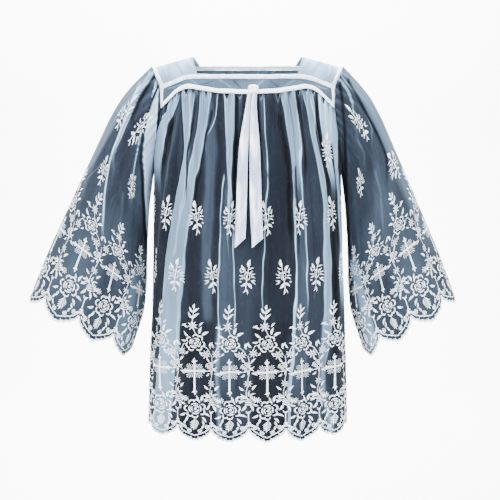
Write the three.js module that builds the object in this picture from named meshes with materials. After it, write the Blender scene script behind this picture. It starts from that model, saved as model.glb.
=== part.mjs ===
// A square-yoke surplice of embroidered net, hollow and hanging as it is worn.
// Millimetres, +Z up, the front faces -Y. Sides are named as worn, so the left side lies at +X.
// The origin is midway between the two shoulder seams, at the height of their neck ends.
import * as THREE from "three";

// Driving sizes
const CLOTH = 2; // wall of the net, measured straight out
const SEAM = 0.4; // space left between two pieces at a seam
const SLEEVE_SEAM = 1.2; // space left where a sleeve is set into its armhole
const TAPE = 8.5; // height of the flat tapes on the yoke
const REPEAT = 92; // one scallop of the embroidered edge
const REPEATS = 8; // scallops across each panel, and round each sleeve
const SCALLOP = 28; // depth of a scallop
const HEM = -808; // height of the scallop tips at the middle of the front and back
const SIDE_RISE = 16; // how much higher the hem hangs at the side seams
const ARMHOLE_FOOT = -250; // height of the underarm
const YOKE_CORNER = 183; // half the width of the gathered yoke line
const YOKE_END = 178; // half the width of the yoke inside its armhole tapes
const NECK_FRONT = 105; // half the width of the square neck at its front corners
const NECK_SIDE = 117; // half the width of the neck at the shoulder line
const SHOULDER_END = 204; // from the centre to the outer end of the shoulder
const SHOULDER_DROP = 24; // how far the shoulder falls to that end
const SHOULDER_TAPE = 8; // width of the armhole tape on the shoulder
const SLEEVE_LENGTH = 570;
const SQUARENESS = 2.6; // exponent of the rounded cross-section of the body

// The body's half width at each height
const WIDTHS = [
  { z: -20, half: 200 },
  { z: -110, half: 200 },
  { z: ARMHOLE_FOOT, half: 203 },
  { z: -400, half: 206 },
  { z: -600, half: 210 },
  { z: -830, half: 213 },
];

// Each face of the garment: which way it looks, its depth at each height, the middle lines of the
// neck tape and the gathering tape at each distance from the centre, and its main folds. A fold is
// placed round the body by its distance from the centre line at the yoke and at the hem.
const FRONT = {
  name: "front",
  way: -1,
  depths: [
    { z: -20, depth: 75 },
    { z: -77, depth: 97 },
    { z: -108, depth: 108 },
    { z: -180, depth: 125 },
    { z: -250, depth: 134 },
    { z: -400, depth: 143 },
    { z: -600, depth: 149 },
    { z: -830, depth: 153 },
  ],
  neckLine: [
    { x: 0, z: -43 },
    { x: 105, z: -42.5 },
    { x: 130, z: -45 },
    { x: 160, z: -56 },
    { x: 186, z: -66 },
  ],
  gatherLine: [
    { x: 0, z: -74 },
    { x: 60, z: -72 },
    { x: 100, z: -66 },
    { x: 125, z: -63 },
    { x: 145, z: -70 },
    { x: 165, z: -88 },
    { x: 184, z: -106 },
  ],
  folds: [
    { top: -146, hem: -252, width: 15, depth: 9 },
    { top: -100, hem: -204, width: 22, depth: 15 },
    { top: -68, hem: -128, width: 12, depth: 6 },
    { top: -35, hem: -62, width: 15, depth: 13 },
    { top: 0, hem: -6, width: 16, depth: 7 },
    { top: 37, hem: 34, width: 11, depth: 7 },
    { top: 79, hem: 91, width: 17, depth: 14 },
    { top: 112, hem: 142, width: 11, depth: 7 },
    { top: 144, hem: 202, width: 24, depth: 16 },
    { top: 172, hem: 254, width: 15, depth: 9 },
  ],
};
const BACK = {
  name: "back",
  way: 1,
  depths: [
    { z: -20, depth: 76 },
    { z: -62, depth: 90 },
    { z: -108, depth: 103 },
    { z: -180, depth: 116 },
    { z: -250, depth: 124 },
    { z: -400, depth: 132 },
    { z: -600, depth: 140 },
    { z: -830, depth: 146 },
  ],
  neckLine: [
    { x: 0, z: -24 },
    { x: 105, z: -24 },
    { x: 130, z: -28 },
    { x: 160, z: -42 },
    { x: 186, z: -56 },
  ],
  gatherLine: [
    { x: 0, z: -64 },
    { x: 60, z: -63 },
    { x: 110, z: -60 },
    { x: 145, z: -68 },
    { x: 184, z: -98 },
  ],
  folds: [
    { top: -158, hem: -240, width: 17, depth: 11 },
    { top: -118, hem: -178, width: 19, depth: 14 },
    { top: -76, hem: -118, width: 14, depth: 11 },
    { top: -40, hem: -54, width: 18, depth: 14 },
    { top: 4, hem: 6, width: 14, depth: 10 },
    { top: 46, hem: 66, width: 19, depth: 15 },
    { top: 88, hem: 124, width: 13, depth: 10 },
    { top: 124, hem: 186, width: 20, depth: 15 },
    { top: 162, hem: 246, width: 15, depth: 10 },
  ],
};
const GATHERS = 26; // small gathers along each yoke line
const GATHER_HEIGHT = 2.7; // how far a small gather stands up
const GATHER_FADE = 110; // distance below the tape over which they melt into the main folds

// The sleeve's outline from the front, at shares of its length: its outer edge, its inner edge, half
// its depth from front to back, how far its middle lies forward, and how far the front of that ring
// is lifted above its middle.
const SLEEVE = [
  { along: 0, outX: 204, outZ: -24, inX: 203, inZ: -250, depth: 64, forward: 0, lift: 0 },
  { along: 0.12, outX: 250, outZ: -68, inX: 210, inZ: -292, depth: 68, forward: 2, lift: 0 },
  { along: 0.26, outX: 287, outZ: -130, inX: 215, inZ: -340, depth: 72, forward: 5, lift: 1 },
  { along: 0.4, outX: 318, outZ: -196, inX: 218, inZ: -390, depth: 76, forward: 8, lift: 3 },
  { along: 0.54, outX: 350, outZ: -266, inX: 220, inZ: -440, depth: 79, forward: 11, lift: 6 },
  { along: 0.69, outX: 385, outZ: -342, inX: 222, inZ: -494, depth: 82, forward: 14, lift: 7 },
  { along: 0.84, outX: 424, outZ: -428, inX: 230, inZ: -557, depth: 85, forward: 17, lift: 10 },
  { along: 1, outX: 464, outZ: -527, inX: 262, inZ: -653, depth: 88, forward: 20, lift: 12 },
];
// A sleeve's main folds, placed round it in degrees from its outer edge, the front counting up.
const SLEEVE_FOLDS = [
  { top: 12, hem: 20, width: 17, depth: 7 },
  { top: 34, hem: 58, width: 13, depth: 9 },
  { top: 58, hem: 98, width: 12, depth: 8 },
  { top: 84, hem: 136, width: 17, depth: 9 },
  { top: -20, hem: -34, width: 14, depth: 8 },
  { top: -46, hem: -80, width: 15, depth: 9 },
  { top: -76, hem: -128, width: 16, depth: 8 },
];
const SLEEVE_GATHERS = 18; // small gathers round the head of each sleeve
const SLEEVE_HEAD = 115; // degrees each way that they reach
const LEFT = { name: "left", way: 1, spread: 0.945 }; // spread widens or narrows a sleeve's reach
const RIGHT = { name: "right", way: -1, spread: 1.03 };

// The ribbon ends: the middle and half width of each at heights down its length, and how far the
// slanted cut at the foot reaches.
const RIBBON = 1.2;
const RIBBON_CUT = 20;
const KNOT = { x: 12, z: -68, half: [11, 6, 8] };
const TAILS = [
  {
    name: "ribbon_tail_right",
    run: [
      { z: -76.3, x: 5, half: 4 },
      { z: -110, x: 0.5, half: 5.4 },
      { z: -190, x: -8, half: 9.5 },
      { z: -320, x: -13, half: 11 },
      { z: -384, x: -15.7, half: 11 },
    ],
  },
  {
    name: "ribbon_tail_left",
    run: [
      { z: -76.3, x: 15, half: 4.6 },
      { z: -110, x: 13, half: 6.4 },
      { z: -190, x: 15, half: 10.6 },
      { z: -320, x: 17.6, half: 12.3 },
      { z: -384, x: 20.8, half: 12 },
    ],
  },
];

// Where the rows of a panel and of a sleeve lie, as shares of the way down. The gathered rows have
// twice as many columns as the loose ones.
const PANEL_ROWS = { gathered: [0, 0.02, 0.06, 0.13], loose: [0.2, 0.32, 0.46, 0.6, 0.74, 0.88, 1] };
const SLEEVE_ROWS = { gathered: [0, 0.05, 0.12], loose: [0.22, 0.35, 0.49, 0.63, 0.76, 0.89, 1] };
const PANEL_COLUMNS = 64;
const SLEEVE_COLUMNS = 48;

const COLOURS = {
  net: { color: 0x76869b, roughness: 0.85 },
  yoke: { color: 0xcfdbe6, roughness: 0.8 },
  tape: { color: 0xf4f5fb, roughness: 0.7 },
  ribbon: { color: 0xe9e8f2, roughness: 0.35 },
};

// Small helpers
const clamp = (v, low, high) => Math.min(Math.max(v, low), high);
const lerp = (a, b, t) => a + (b - a) * t;
const degrees = (angle) => (angle * Math.PI) / 180;
const smooth = (low, high, v) => {
  const t = clamp((v - low) / (high - low), 0, 1);
  return t * t * (3 - 2 * t);
};

// A smooth curve through a table's rows, from one named column to another.
function through(rows, from, to) {
  const last = rows.length - 1;
  const slope = (i) => {
    const a = rows[Math.max(i - 1, 0)];
    const b = rows[Math.min(i + 1, last)];
    return (b[to] - a[to]) / (b[from] - a[from]);
  };
  const rising = rows[last][from] > rows[0][from];
  return (v) => {
    let i = 0;
    while (i < last - 1 && (rising ? v > rows[i + 1][from] : v < rows[i + 1][from])) i += 1;
    const span = rows[i + 1][from] - rows[i][from];
    const t = clamp((v - rows[i][from]) / span, 0, 1);
    const [t2, t3] = [t * t, t * t * t];
    return (
      (2 * t3 - 3 * t2 + 1) * rows[i][to] +
      (t3 - 2 * t2 + t) * span * slope(i) +
      (3 * t2 - 2 * t3) * rows[i + 1][to] +
      (t3 - t2) * span * slope(i + 1)
    );
  };
}

// A closed wall between an outer and an inner grid of points. A row may have half the cells of the
// row above it. A ring's rows close on themselves.
function wall(outer, inner, ring = false) {
  const points = [];
  const faces = [];
  const number = (rows) => rows.map((row) => row.map((p) => points.push(p) - 1));
  const [out, back] = [number(outer), number(inner)];
  const at = (row, i) => row[ring ? i % row.length : i];
  const cells = (row) => (ring ? row.length : row.length - 1);
  const quad = (a, b, c, d) => faces.push([a, b, c], [a, c, d]);
  const skin = (rows, flip) => {
    const add = (a, b, c) => faces.push(flip ? [a, c, b] : [a, b, c]);
    for (let r = 0; r + 1 < rows.length; r += 1) {
      const [up, low] = [rows[r], rows[r + 1]];
      const halved = cells(up) === 2 * cells(low);
      for (let i = 0; i < cells(low); i += 1) {
        const [c, d] = [at(low, i), at(low, i + 1)];
        if (halved) {
          const [a, m, b] = [at(up, 2 * i), at(up, 2 * i + 1), at(up, 2 * i + 2)];
          add(a, c, m);
          add(m, c, d);
          add(m, d, b);
        } else {
          add(at(up, i), c, d);
          add(at(up, i), d, at(up, i + 1));
        }
      }
    }
  };
  skin(out, false);
  skin(back, true);
  const [first, foot] = [0, out.length - 1];
  for (let i = 0; i < cells(out[first]); i += 1)
    quad(at(out[first], i), at(out[first], i + 1), at(back[first], i + 1), at(back[first], i));
  for (let i = 0; i < cells(out[foot]); i += 1)
    quad(at(out[foot], i + 1), at(out[foot], i), at(back[foot], i), at(back[foot], i + 1));
  if (!ring)
    for (let r = 0; r + 1 < out.length; r += 1) {
      quad(out[r + 1][0], out[r][0], back[r][0], back[r + 1][0]);
      quad(out[r].at(-1), out[r + 1].at(-1), back[r + 1].at(-1), back[r].at(-1));
    }
  const volume = faces.reduce(
    (sum, [a, b, c]) => sum + points[a].dot(points[b].clone().cross(points[c])),
    0,
  );
  const geometry = new THREE.BufferGeometry();
  geometry.setFromPoints(points);
  geometry.setIndex(faces.flatMap(([a, b, c]) => (volume > 0 ? [a, b, c] : [a, c, b])));
  geometry.computeVertexNormals();
  return geometry;
}

// A wall from one grid of places, each with its point and the way out of the cloth there.
function cloth(grid, thickness = CLOTH, lift = 0, ring = false) {
  const move = (distance) =>
    grid.map((row) => row.map(({ point, out }) => point.clone().addScaledVector(out, distance)));
  return wall(move(lift), move(lift - thickness), ring);
}

// The body's cross-section: a rounded oblong, whose points are given by a share from -1, the right
// side seam, over 0, the middle of the face, to 1, the left side seam.
const halfWidth = through(WIDTHS, "z", "half");
for (const face of [FRONT, BACK]) {
  face.depth = through(face.depths, "z", "depth");
  face.neck = through(face.neckLine, "x", "z");
  face.gather = through(face.gatherLine, "x", "z");
}
const power = 2 / SQUARENESS;
const HALF_GIRTH = 285; // about half of one face's width round the body, so a share counts as that
const STEPS = 720;
const shares = (() => {
  const [a, b] = [halfWidth(-500), FRONT.depth(-500)];
  const lengths = [0];
  let [x, y] = [0, b];
  for (let i = 1; i <= STEPS; i += 1) {
    const angle = (i / STEPS) * (Math.PI / 2);
    const [nx, ny] = [a * Math.sin(angle) ** power, b * Math.max(Math.cos(angle), 0) ** power];
    lengths.push(lengths[i - 1] + Math.hypot(nx - x, ny - y));
    [x, y] = [nx, ny];
  }
  return lengths.map((length) => length / lengths[STEPS]);
})();

function angleAt(share) {
  const wanted = Math.abs(share);
  let i = 1;
  while (i < STEPS && shares[i] < wanted) i += 1;
  const t = (wanted - shares[i - 1]) / (shares[i] - shares[i - 1]);
  return (Math.sign(share) * (i - 1 + clamp(t, 0, 1)) * (Math.PI / 2)) / STEPS;
}

// The way out of the body at a point of its cross-section.
function wayOut(face, x, y, z) {
  const pull = (v, size) => (Math.sign(v) * (Math.abs(v) / size) ** (SQUARENESS - 1)) / size;
  return new THREE.Vector3(pull(x, halfWidth(z)), pull(y, face.depth(z)), 0).normalize();
}

// A place on the smooth body at a distance from the centre plane and a height.
function onBody(face, x, z) {
  const rest = Math.max(1 - (Math.abs(x) / halfWidth(z)) ** SQUARENESS, 0);
  const y = face.way * face.depth(z) * rest ** (1 / SQUARENESS);
  return { point: new THREE.Vector3(x, y, z), out: wayOut(face, x, y, z) };
}

// The share at which the yoke's corner lies, and the top edge of a panel at each share: under the
// gathering tape as far as that corner, then down the armhole.
const cornerShare = (() => {
  const angle = Math.asin((YOKE_CORNER / halfWidth(-110)) ** (1 / power));
  return shares[Math.round((angle / (Math.PI / 2)) * STEPS)];
})();

function panelTop(face, share) {
  const x = Math.min(halfWidth(-110) * Math.abs(Math.sin(angleAt(share))) ** power, YOKE_CORNER);
  const line = face.gather(x) - TAPE / 2 - SEAM;
  const past = clamp((Math.abs(share) - cornerShare) / (1 - cornerShare), 0, 1);
  return lerp(line, ARMHOLE_FOOT, Math.sin((past * Math.PI) / 2));
}

// How far the folds lift the cloth off the smooth body, at a distance below the panel's top edge.
const pleat = (v) => 1 / (1 + v ** 4);
const gatherRise = (below) => lerp(0.3, 1, smooth(0, 16, below)) * Math.exp(-below / GATHER_FADE);

function foldLift(face, share, below) {
  const place = share * HALF_GIRTH;
  const inYoke = 1 - smooth(cornerShare - 0.05, cornerShare + 0.01, Math.abs(share));
  const turns = (place / (2 * cornerShare * HALF_GIRTH)) * GATHERS;
  const uneven = 0.9 * Math.sin(turns * 0.83 + face.way) + 0.6 * Math.sin(turns * 0.37 + 1.2);
  const small = 0.5 + 0.5 * Math.cos(2 * Math.PI * turns + uneven);
  const grown = lerp(0.1, 1, smooth(0, 190, below));
  const seamFade = 1 - smooth(0.9, 0.99, Math.abs(share));
  const edgeFade = lerp(smooth(0, 70, below), 1, inYoke);
  const main = face.folds.reduce((sum, { top, hem, width, depth }) => {
    const middle = lerp(top, hem, smooth(-200, 900, below) * 1.25 - 0.12);
    const reach = width * lerp(0.5, 1, smooth(0, 320, below));
    return sum + depth * pleat((place - middle) / reach);
  }, 0);
  return 2 * GATHER_HEIGHT * small * gatherRise(below) * inYoke + main * grown * seamFade * edgeFade;
}

function onPanel(face, share, z) {
  const angle = angleAt(share);
  const x = halfWidth(z) * Math.sign(angle) * Math.abs(Math.sin(angle)) ** power;
  const y = face.way * face.depth(z) * Math.max(Math.cos(angle), 0) ** power;
  const out = wayOut(face, x, y, z);
  const lift = foldLift(face, share, panelTop(face, share) - z);
  return { point: new THREE.Vector3(x, y, z).addScaledVector(out, lift), out };
}

// Height of the scalloped edge above its tips, at a distance along the flat cloth.
function scallop(along) {
  const part = along / REPEAT;
  const off = Math.abs(2 * (part - Math.floor(part)) - 1);
  return SCALLOP * (0.45 * off + 0.25 * off ** 2 + 0.3 * off ** 5);
}

// The places at even steps of cloth along a curve, found by walking the curve in small steps.
function evenly(curve, from, to, cells, length = (a, b) => a.distanceTo(b)) {
  const walk = 900;
  const sums = [0];
  let last = curve(from);
  for (let i = 1; i <= walk; i += 1) {
    const next = curve(lerp(from, to, i / walk));
    sums.push(sums[i - 1] + length(last, next));
    last = next;
  }
  let i = 1;
  return Array.from({ length: cells + 1 }, (_, cell) => {
    const wanted = (sums[walk] * cell) / cells;
    while (i < walk && sums[i] < wanted) i += 1;
    return lerp(from, to, (i - 1 + (wanted - sums[i - 1]) / (sums[i] - sums[i - 1])) / walk);
  });
}

function bodyPanel(face) {
  const side = 1 - SEAM / 2 / HALF_GIRTH;
  const flat = REPEAT * REPEATS;
  const row = (down, cells) => {
    const hem = (share) => HEM + SIDE_RISE * share ** 4;
    const heightAt = (share, part) => lerp(panelTop(face, share), hem(share), part);
    const curve = (share) => onPanel(face, share, heightAt(share, down)).point;
    const level = (a, b) => Math.hypot(a.x - b.x, a.y - b.y);
    return evenly(curve, -side, side, cells, level).map((share, cell) => {
      const drop = panelTop(face, share) - hem(share);
      const edge = 1 - scallop((flat * cell) / cells) / drop;
      return onPanel(face, share, heightAt(share, down * edge));
    });
  };
  return cloth([
    ...PANEL_ROWS.gathered.map((down) => row(down, 2 * PANEL_COLUMNS)),
    ...PANEL_ROWS.loose.map((down) => row(down, PANEL_COLUMNS)),
  ]);
}

// A strip of the yoke that lies on the body between two lines across it.
function yokeStrip(face, low, high, cells, rows, thickness, lift) {
  const across = Array.from({ length: cells + 1 }, (_, i) => lerp(-YOKE_END, YOKE_END, i / cells));
  const grid = Array.from({ length: rows + 1 }, (_, r) =>
    across.map((x) => onBody(face, x, lerp(high(x), low(x), r / rows))),
  );
  return cloth(grid, thickness, lift);
}

const tapeOn = (face, line, thickness, lift) => {
  const low = (x) => line(Math.abs(x)) - TAPE / 2;
  const high = (x) => line(Math.abs(x)) + TAPE / 2;
  return yokeStrip(face, low, high, 36, 1, thickness, lift);
};
const bandOn = (face) => {
  const low = (x) => face.gather(Math.abs(x)) + TAPE / 2 + SEAM;
  const high = (x) => face.neck(Math.abs(x)) - TAPE / 2 - SEAM;
  return yokeStrip(face, low, high, 36, 2, CLOTH, 0);
};

// A place on the shoulder, from the top of the front neck tape (-1) over the shoulder line (0) to
// the back neck tape (1). The line starts at one distance from the centre and crests at another.
const CREST = degrees(70); // how far round its arch the shoulder runs before it meets the tape
const crestHeight = (x) => (-SHOULDER_DROP * (x - NECK_SIDE)) / (SHOULDER_END - NECK_SIDE);

function onShoulder(side, xEdge, xCrest, along) {
  const face = along < 0 ? FRONT : BACK;
  const turn = Math.abs(along) * CREST;
  const [over, down] = [Math.sin(turn) / Math.sin(CREST), (1 - Math.cos(turn)) / (1 - Math.cos(CREST))];
  const edge = onBody(face, xEdge, face.neck(xEdge) + TAPE / 2 + SEAM);
  const lean = Math.abs(along) * (Math.PI / 2);
  const out = new THREE.Vector3(edge.out.x, edge.out.y, 0).multiplyScalar(Math.sin(lean));
  out.z = Math.cos(lean);
  const point = new THREE.Vector3(
    lerp(xCrest, xEdge, down),
    edge.point.y * over,
    lerp(crestHeight(xCrest), edge.point.z, down),
  );
  const flip = new THREE.Vector3(side.way, 1, 1);
  return { point: point.multiply(flip), out: out.normalize().multiply(flip) };
}

function shoulderPiece(side) {
  const cells = 6;
  const rows = 14;
  const crestEnd = SHOULDER_END - SHOULDER_TAPE - SEAM;
  return cloth(
    Array.from({ length: rows + 1 }, (_, r) =>
      Array.from({ length: cells + 1 }, (_, i) => {
        const t = i / cells;
        return onShoulder(side, lerp(NECK_FRONT, YOKE_END, t), lerp(NECK_SIDE, crestEnd, t), (2 * r) / rows - 1);
      }),
    ),
  );
}

// The outer edge of the yoke, from the front corner over the shoulder to the back corner, and the
// line a tape's width inside it. A share of -1 is the front corner and 1 the back one.
const ARMHOLE_EDGE = 186; // half the width of the yoke at the neck tape's outer end
const ON_BODY = 0.4; // the part of each half that lies on the body below the neck tape
function onYokeEdge(side, along, outer) {
  const face = along < 0 ? FRONT : BACK;
  const past = Math.abs(along);
  const xTop = outer ? ARMHOLE_EDGE : YOKE_END + SEAM;
  if (past <= 1 - ON_BODY) {
    const xCrest = outer ? SHOULDER_END : SHOULDER_END - SHOULDER_TAPE;
    return onShoulder(side, xTop, xCrest, along / (1 - ON_BODY));
  }
  const t = (past - (1 - ON_BODY)) / ON_BODY;
  const xLow = outer ? YOKE_CORNER : YOKE_END + SEAM;
  const z = lerp(face.neck(xTop) + TAPE / 2 + SEAM, face.gather(xLow) - TAPE / 2, t);
  const { point, out } = onBody(face, lerp(xTop, xLow, t), z);
  const flip = new THREE.Vector3(side.way, 1, 1);
  return { point: point.multiply(flip), out: out.multiply(flip) };
}

function armholeTape(side) {
  const cells = 28;
  const line = (outer) =>
    Array.from({ length: cells + 1 }, (_, i) => onYokeEdge(side, (2 * i) / cells - 1, outer));
  return cloth([line(false), line(true)], CLOTH + 0.8, 0.5);
}

// The armhole's edge, from the top of the shoulder down to the underarm, on the front or the back.
function armholeHalf(face, side) {
  const yoke = (t) => onYokeEdge(side, face.way * t, true).point;
  const panel = (t) => {
    const share = side.way * lerp(cornerShare, 1, t);
    return onPanel(face, share, panelTop(face, share)).point;
  };
  const points = [
    ...Array.from({ length: 40 }, (_, i) => yoke(i / 40)),
    ...Array.from({ length: 41 }, (_, i) => panel(i / 40)),
  ];
  const sums = points.map(() => 0);
  for (let i = 1; i < points.length; i += 1) sums[i] = sums[i - 1] + points[i].distanceTo(points[i - 1]);
  return (part) => {
    const wanted = part * sums.at(-1);
    let i = 1;
    while (i < points.length - 1 && sums[i] < wanted) i += 1;
    const t = clamp((wanted - sums[i - 1]) / (sums[i] - sums[i - 1]), 0, 1);
    return points[i - 1].clone().lerp(points[i], t);
  };
}

// A sleeve: rings round its length, each an egg-shaped loop between its outer and its inner edge. An
// angle of 0 is the outer edge, 90 degrees the front, and 180 the inner edge.
const sleeveLine = Object.fromEntries(
  Object.keys(SLEEVE[0]).map((name) => [name, through(SLEEVE, "along", name)]),
);

function sleeveLift(angle, along) {
  const place = ((angle * 180) / Math.PI + 540) % 360 - 180;
  const below = along * SLEEVE_LENGTH;
  const inHead = 1 - smooth(SLEEVE_HEAD - 15, SLEEVE_HEAD, Math.abs(place));
  const turns = (place / (2 * SLEEVE_HEAD)) * SLEEVE_GATHERS;
  const small = 0.5 + 0.5 * Math.cos(2 * Math.PI * turns + 0.8 * Math.sin(turns * 0.9));
  const main = SLEEVE_FOLDS.reduce((sum, { top, hem, width, depth }) => {
    const middle = lerp(top, hem, smooth(-120, 650, below) * 1.2 - 0.1);
    const reach = width * lerp(0.45, 1, smooth(0, 260, below));
    return sum + depth * pleat((place - middle) / reach);
  }, 0);
  return 2 * GATHER_HEIGHT * small * gatherRise(below) * inHead + main * lerp(0.1, 1, smooth(0, 170, below));
}

function onSleeve(side, halves, angle, along) {
  const value = (name) => sleeveLine[name](along);
  const reach = (x) => SHOULDER_END + (x - SHOULDER_END) * side.spread;
  const outer = new THREE.Vector3(reach(value("outX")), 0, value("outZ"));
  const inner = new THREE.Vector3(value("inX"), 0, value("inZ"));
  const across = outer.clone().sub(inner).multiplyScalar(0.5);
  const deep = value("depth") * (1 + 0.2 * Math.cos(angle));
  const [c, s] = [Math.cos(angle), Math.sin(angle)];
  const point = outer.add(inner).multiplyScalar(0.5).addScaledVector(across, c);
  point.y = -deep * s - value("forward");
  point.z += value("lift") * s;
  const out = across.clone().multiplyScalar(c / across.lengthSq());
  out.y = -s / deep;
  out.normalize();
  const flip = new THREE.Vector3(side.way, 1, 1);
  point.multiply(flip);
  out.multiply(flip);
  const turn = angle % (2 * Math.PI);
  const seam = turn <= Math.PI ? halves[0](turn / Math.PI) : halves[1](2 - turn / Math.PI);
  seam.x += side.way * SLEEVE_SEAM;
  const hold = 1 - smooth(0, 0.2, along);
  out.lerp(new THREE.Vector3(0, out.y, out.z), hold).normalize();
  return { point: point.lerp(seam, hold).addScaledVector(out, sleeveLift(angle, along)), out };
}

function sleeve(side) {
  const halves = [FRONT, BACK].map((face) => armholeHalf(face, side));
  const ring = (down, cells) => {
    const curve = (angle) => onSleeve(side, halves, angle, down).point;
    return evenly(curve, Math.PI, 3 * Math.PI, cells)
      .slice(0, -1)
      .map((angle, cell) => {
        const edge = 1 - scallop((REPEAT * REPEATS * cell) / cells) / SLEEVE_LENGTH;
        return onSleeve(side, halves, angle, down * edge);
      });
  };
  const rings = [
    ...SLEEVE_ROWS.gathered.map((down) => ring(down, 2 * SLEEVE_COLUMNS)),
    ...SLEEVE_ROWS.loose.map((down) => ring(down, SLEEVE_COLUMNS)),
  ];
  return cloth(rings, CLOTH, 0, true);
}

// A ribbon end hangs clear of the folds, its foot cut on the slant.
const RIBBON_OFF = { knot: 8, loose: 16 }; // how far off the smooth body it hangs
function ribbonTail(run) {
  const [middle, half] = [through(run, "z", "x"), through(run, "z", "half")];
  const [from, to] = [run[0].z, run.at(-1).z];
  const rows = 12;
  return cloth(
    Array.from({ length: rows + 1 }, (_, r) =>
      [-1, 0, 1].map((side) => {
        const slant = (-side * RIBBON_CUT) / 2;
        const z = lerp(from, to - slant, r / rows);
        const x = middle(z) + side * half(z);
        const off = lerp(RIBBON_OFF.knot, RIBBON_OFF.loose, smooth(from, from - 110, z));
        const curl = side === 0 ? 1.2 : 0;
        const y = onBody(FRONT, 0, z).point.y - off - curl;
        return { point: new THREE.Vector3(x, y, z), out: new THREE.Vector3(0, -1, 0) };
      }),
    ),
    RIBBON,
  );
}

// The knot is a small pillow with soft corners, tied over the gathering tape.
function knot() {
  const [w, d, h] = KNOT.half;
  const geometry = new THREE.SphereGeometry(1, 16, 10);
  const at = geometry.attributes.position;
  const soften = (v) => Math.sign(v) * Math.abs(v) ** 0.72;
  for (let i = 0; i < at.count; i += 1)
    at.setXYZ(i, w * soften(at.getX(i)), d * soften(at.getY(i)), h * soften(at.getZ(i)));
  return geometry;
}

// The whole garment
const garment = new THREE.Group();
function add(name, finish, geometry) {
  const mesh = new THREE.Mesh(geometry, new THREE.MeshStandardMaterial({ metalness: 0, ...COLOURS[finish] }));
  mesh.name = name;
  garment.add(mesh);
  return mesh;
}

for (const face of [FRONT, BACK]) {
  add(`${face.name}_panel`, "net", bodyPanel(face));
  add(`${face.name}_yoke_band`, "net", bandOn(face));
  add(`${face.name}_neck_tape`, "tape", tapeOn(face, face.neck, CLOTH + 0.8, 0.5));
  add(`${face.name}_gather_tape`, "tape", tapeOn(face, face.gather, CLOTH + 1.4, 1));
}
for (const side of [LEFT, RIGHT]) {
  add(`${side.name}_shoulder`, "yoke", shoulderPiece(side));
  add(`${side.name}_armhole_tape`, "tape", armholeTape(side));
  add(`${side.name}_sleeve`, "net", sleeve(side));
}
for (const { name, run } of TAILS) add(name, "ribbon", ribbonTail(run));
const lowest = onBody(FRONT, KNOT.x, KNOT.z - 0.6 * KNOT.half[2]).point.y;
add("ribbon_knot", "ribbon", knot()).position.set(KNOT.x, lowest - 1 - KNOT.half[1] - SEAM, KNOT.z);

export default garment;
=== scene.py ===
# %% [markdown]
# # A surplice of embroidered net
#
# A surplice is a wide white over-garment. This one is cut from sheer net: a square yoke, a front and a
# back panel gathered under it, two wide sleeves gathered into the armholes, white tapes over the seams
# and a satin ribbon. Machine embroidery fills the scalloped hem and cuffs.
#
# The solids of the construction are loaded first and never change. Each one is then replaced by a thin
# sheet with the same form and finer creases. Lengths below are millimetres until a mesh is made.

# %% The frame
import math
from types import SimpleNamespace

import bmesh
import bpy
import numpy as np
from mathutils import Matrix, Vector


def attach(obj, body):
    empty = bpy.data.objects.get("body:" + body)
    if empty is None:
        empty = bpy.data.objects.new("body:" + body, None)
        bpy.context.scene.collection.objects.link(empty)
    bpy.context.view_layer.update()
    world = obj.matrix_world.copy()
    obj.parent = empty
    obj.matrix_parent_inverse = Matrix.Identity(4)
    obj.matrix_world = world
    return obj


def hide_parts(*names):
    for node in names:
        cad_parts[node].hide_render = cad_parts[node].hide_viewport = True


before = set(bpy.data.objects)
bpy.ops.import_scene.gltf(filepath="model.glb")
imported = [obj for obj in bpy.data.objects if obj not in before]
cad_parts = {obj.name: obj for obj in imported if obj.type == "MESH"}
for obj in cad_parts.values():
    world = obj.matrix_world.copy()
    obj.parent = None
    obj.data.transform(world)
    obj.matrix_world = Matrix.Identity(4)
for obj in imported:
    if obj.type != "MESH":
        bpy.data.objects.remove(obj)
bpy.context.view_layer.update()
MM = 0.001
print("solids:", sorted(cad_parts))


# %% [markdown]
# ## Curves through short tables
#
# A pattern cutter notes a few widths and joins them with a smooth curve. A table here has named columns
# and a row for each height, and `through` draws the smooth curve from one column to another. It is the
# curve that the construction uses, so the sheets land exactly on their solids.

# %% Tables and curves
def table(columns, *rows):
    return dict(zip(columns.split(), np.array(rows, float).T))


def through(rows, start, end):
    x, y = rows[start], rows[end]
    way = 1 if x[-1] > x[0] else -1
    number = np.arange(len(x))
    before, after = np.maximum(number - 1, 0), np.minimum(number + 1, len(x) - 1)
    slope = (y[after] - y[before]) / (x[after] - x[before])

    def value(v):
        v = np.asarray(v, float)
        i = np.clip(np.searchsorted(way * x, way * v, side="left") - 1, 0, len(x) - 2)
        span = x[i + 1] - x[i]
        t = np.clip((v - x[i]) / span, 0, 1)
        rise = (2 * t**3 - 3 * t**2 + 1) * y[i] + (3 * t**2 - 2 * t**3) * y[i + 1]
        return rise + span * ((t**3 - 2 * t**2 + t) * slope[i] + (t**3 - t**2) * slope[i + 1])

    return value


def lerp(a, b, t):
    return a + (b - a) * t


def smooth(low, high, v):
    t = np.clip((v - low) / (high - low), 0, 1)
    return t * t * (3 - 2 * t)


def unit(v):
    return v / np.maximum(np.linalg.norm(v, axis=-1, keepdims=True), 1e-9)


print("a smooth step in four parts:", smooth(0, 4, np.arange(5)).round(2))


# %% [markdown]
# ## The garment's sizes
#
# These are the sizes that the construction has. A `face` is the front or the back: its depth at each
# height, the lines of its neck and gather tapes, and its large folds. A fold has a place under the tape,
# a place at the hem, a width and a depth, and stands on its own between smaller gathers. The sheets could
# copy the solids' points instead, but a rule gives them as many points as fine creases need.

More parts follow.
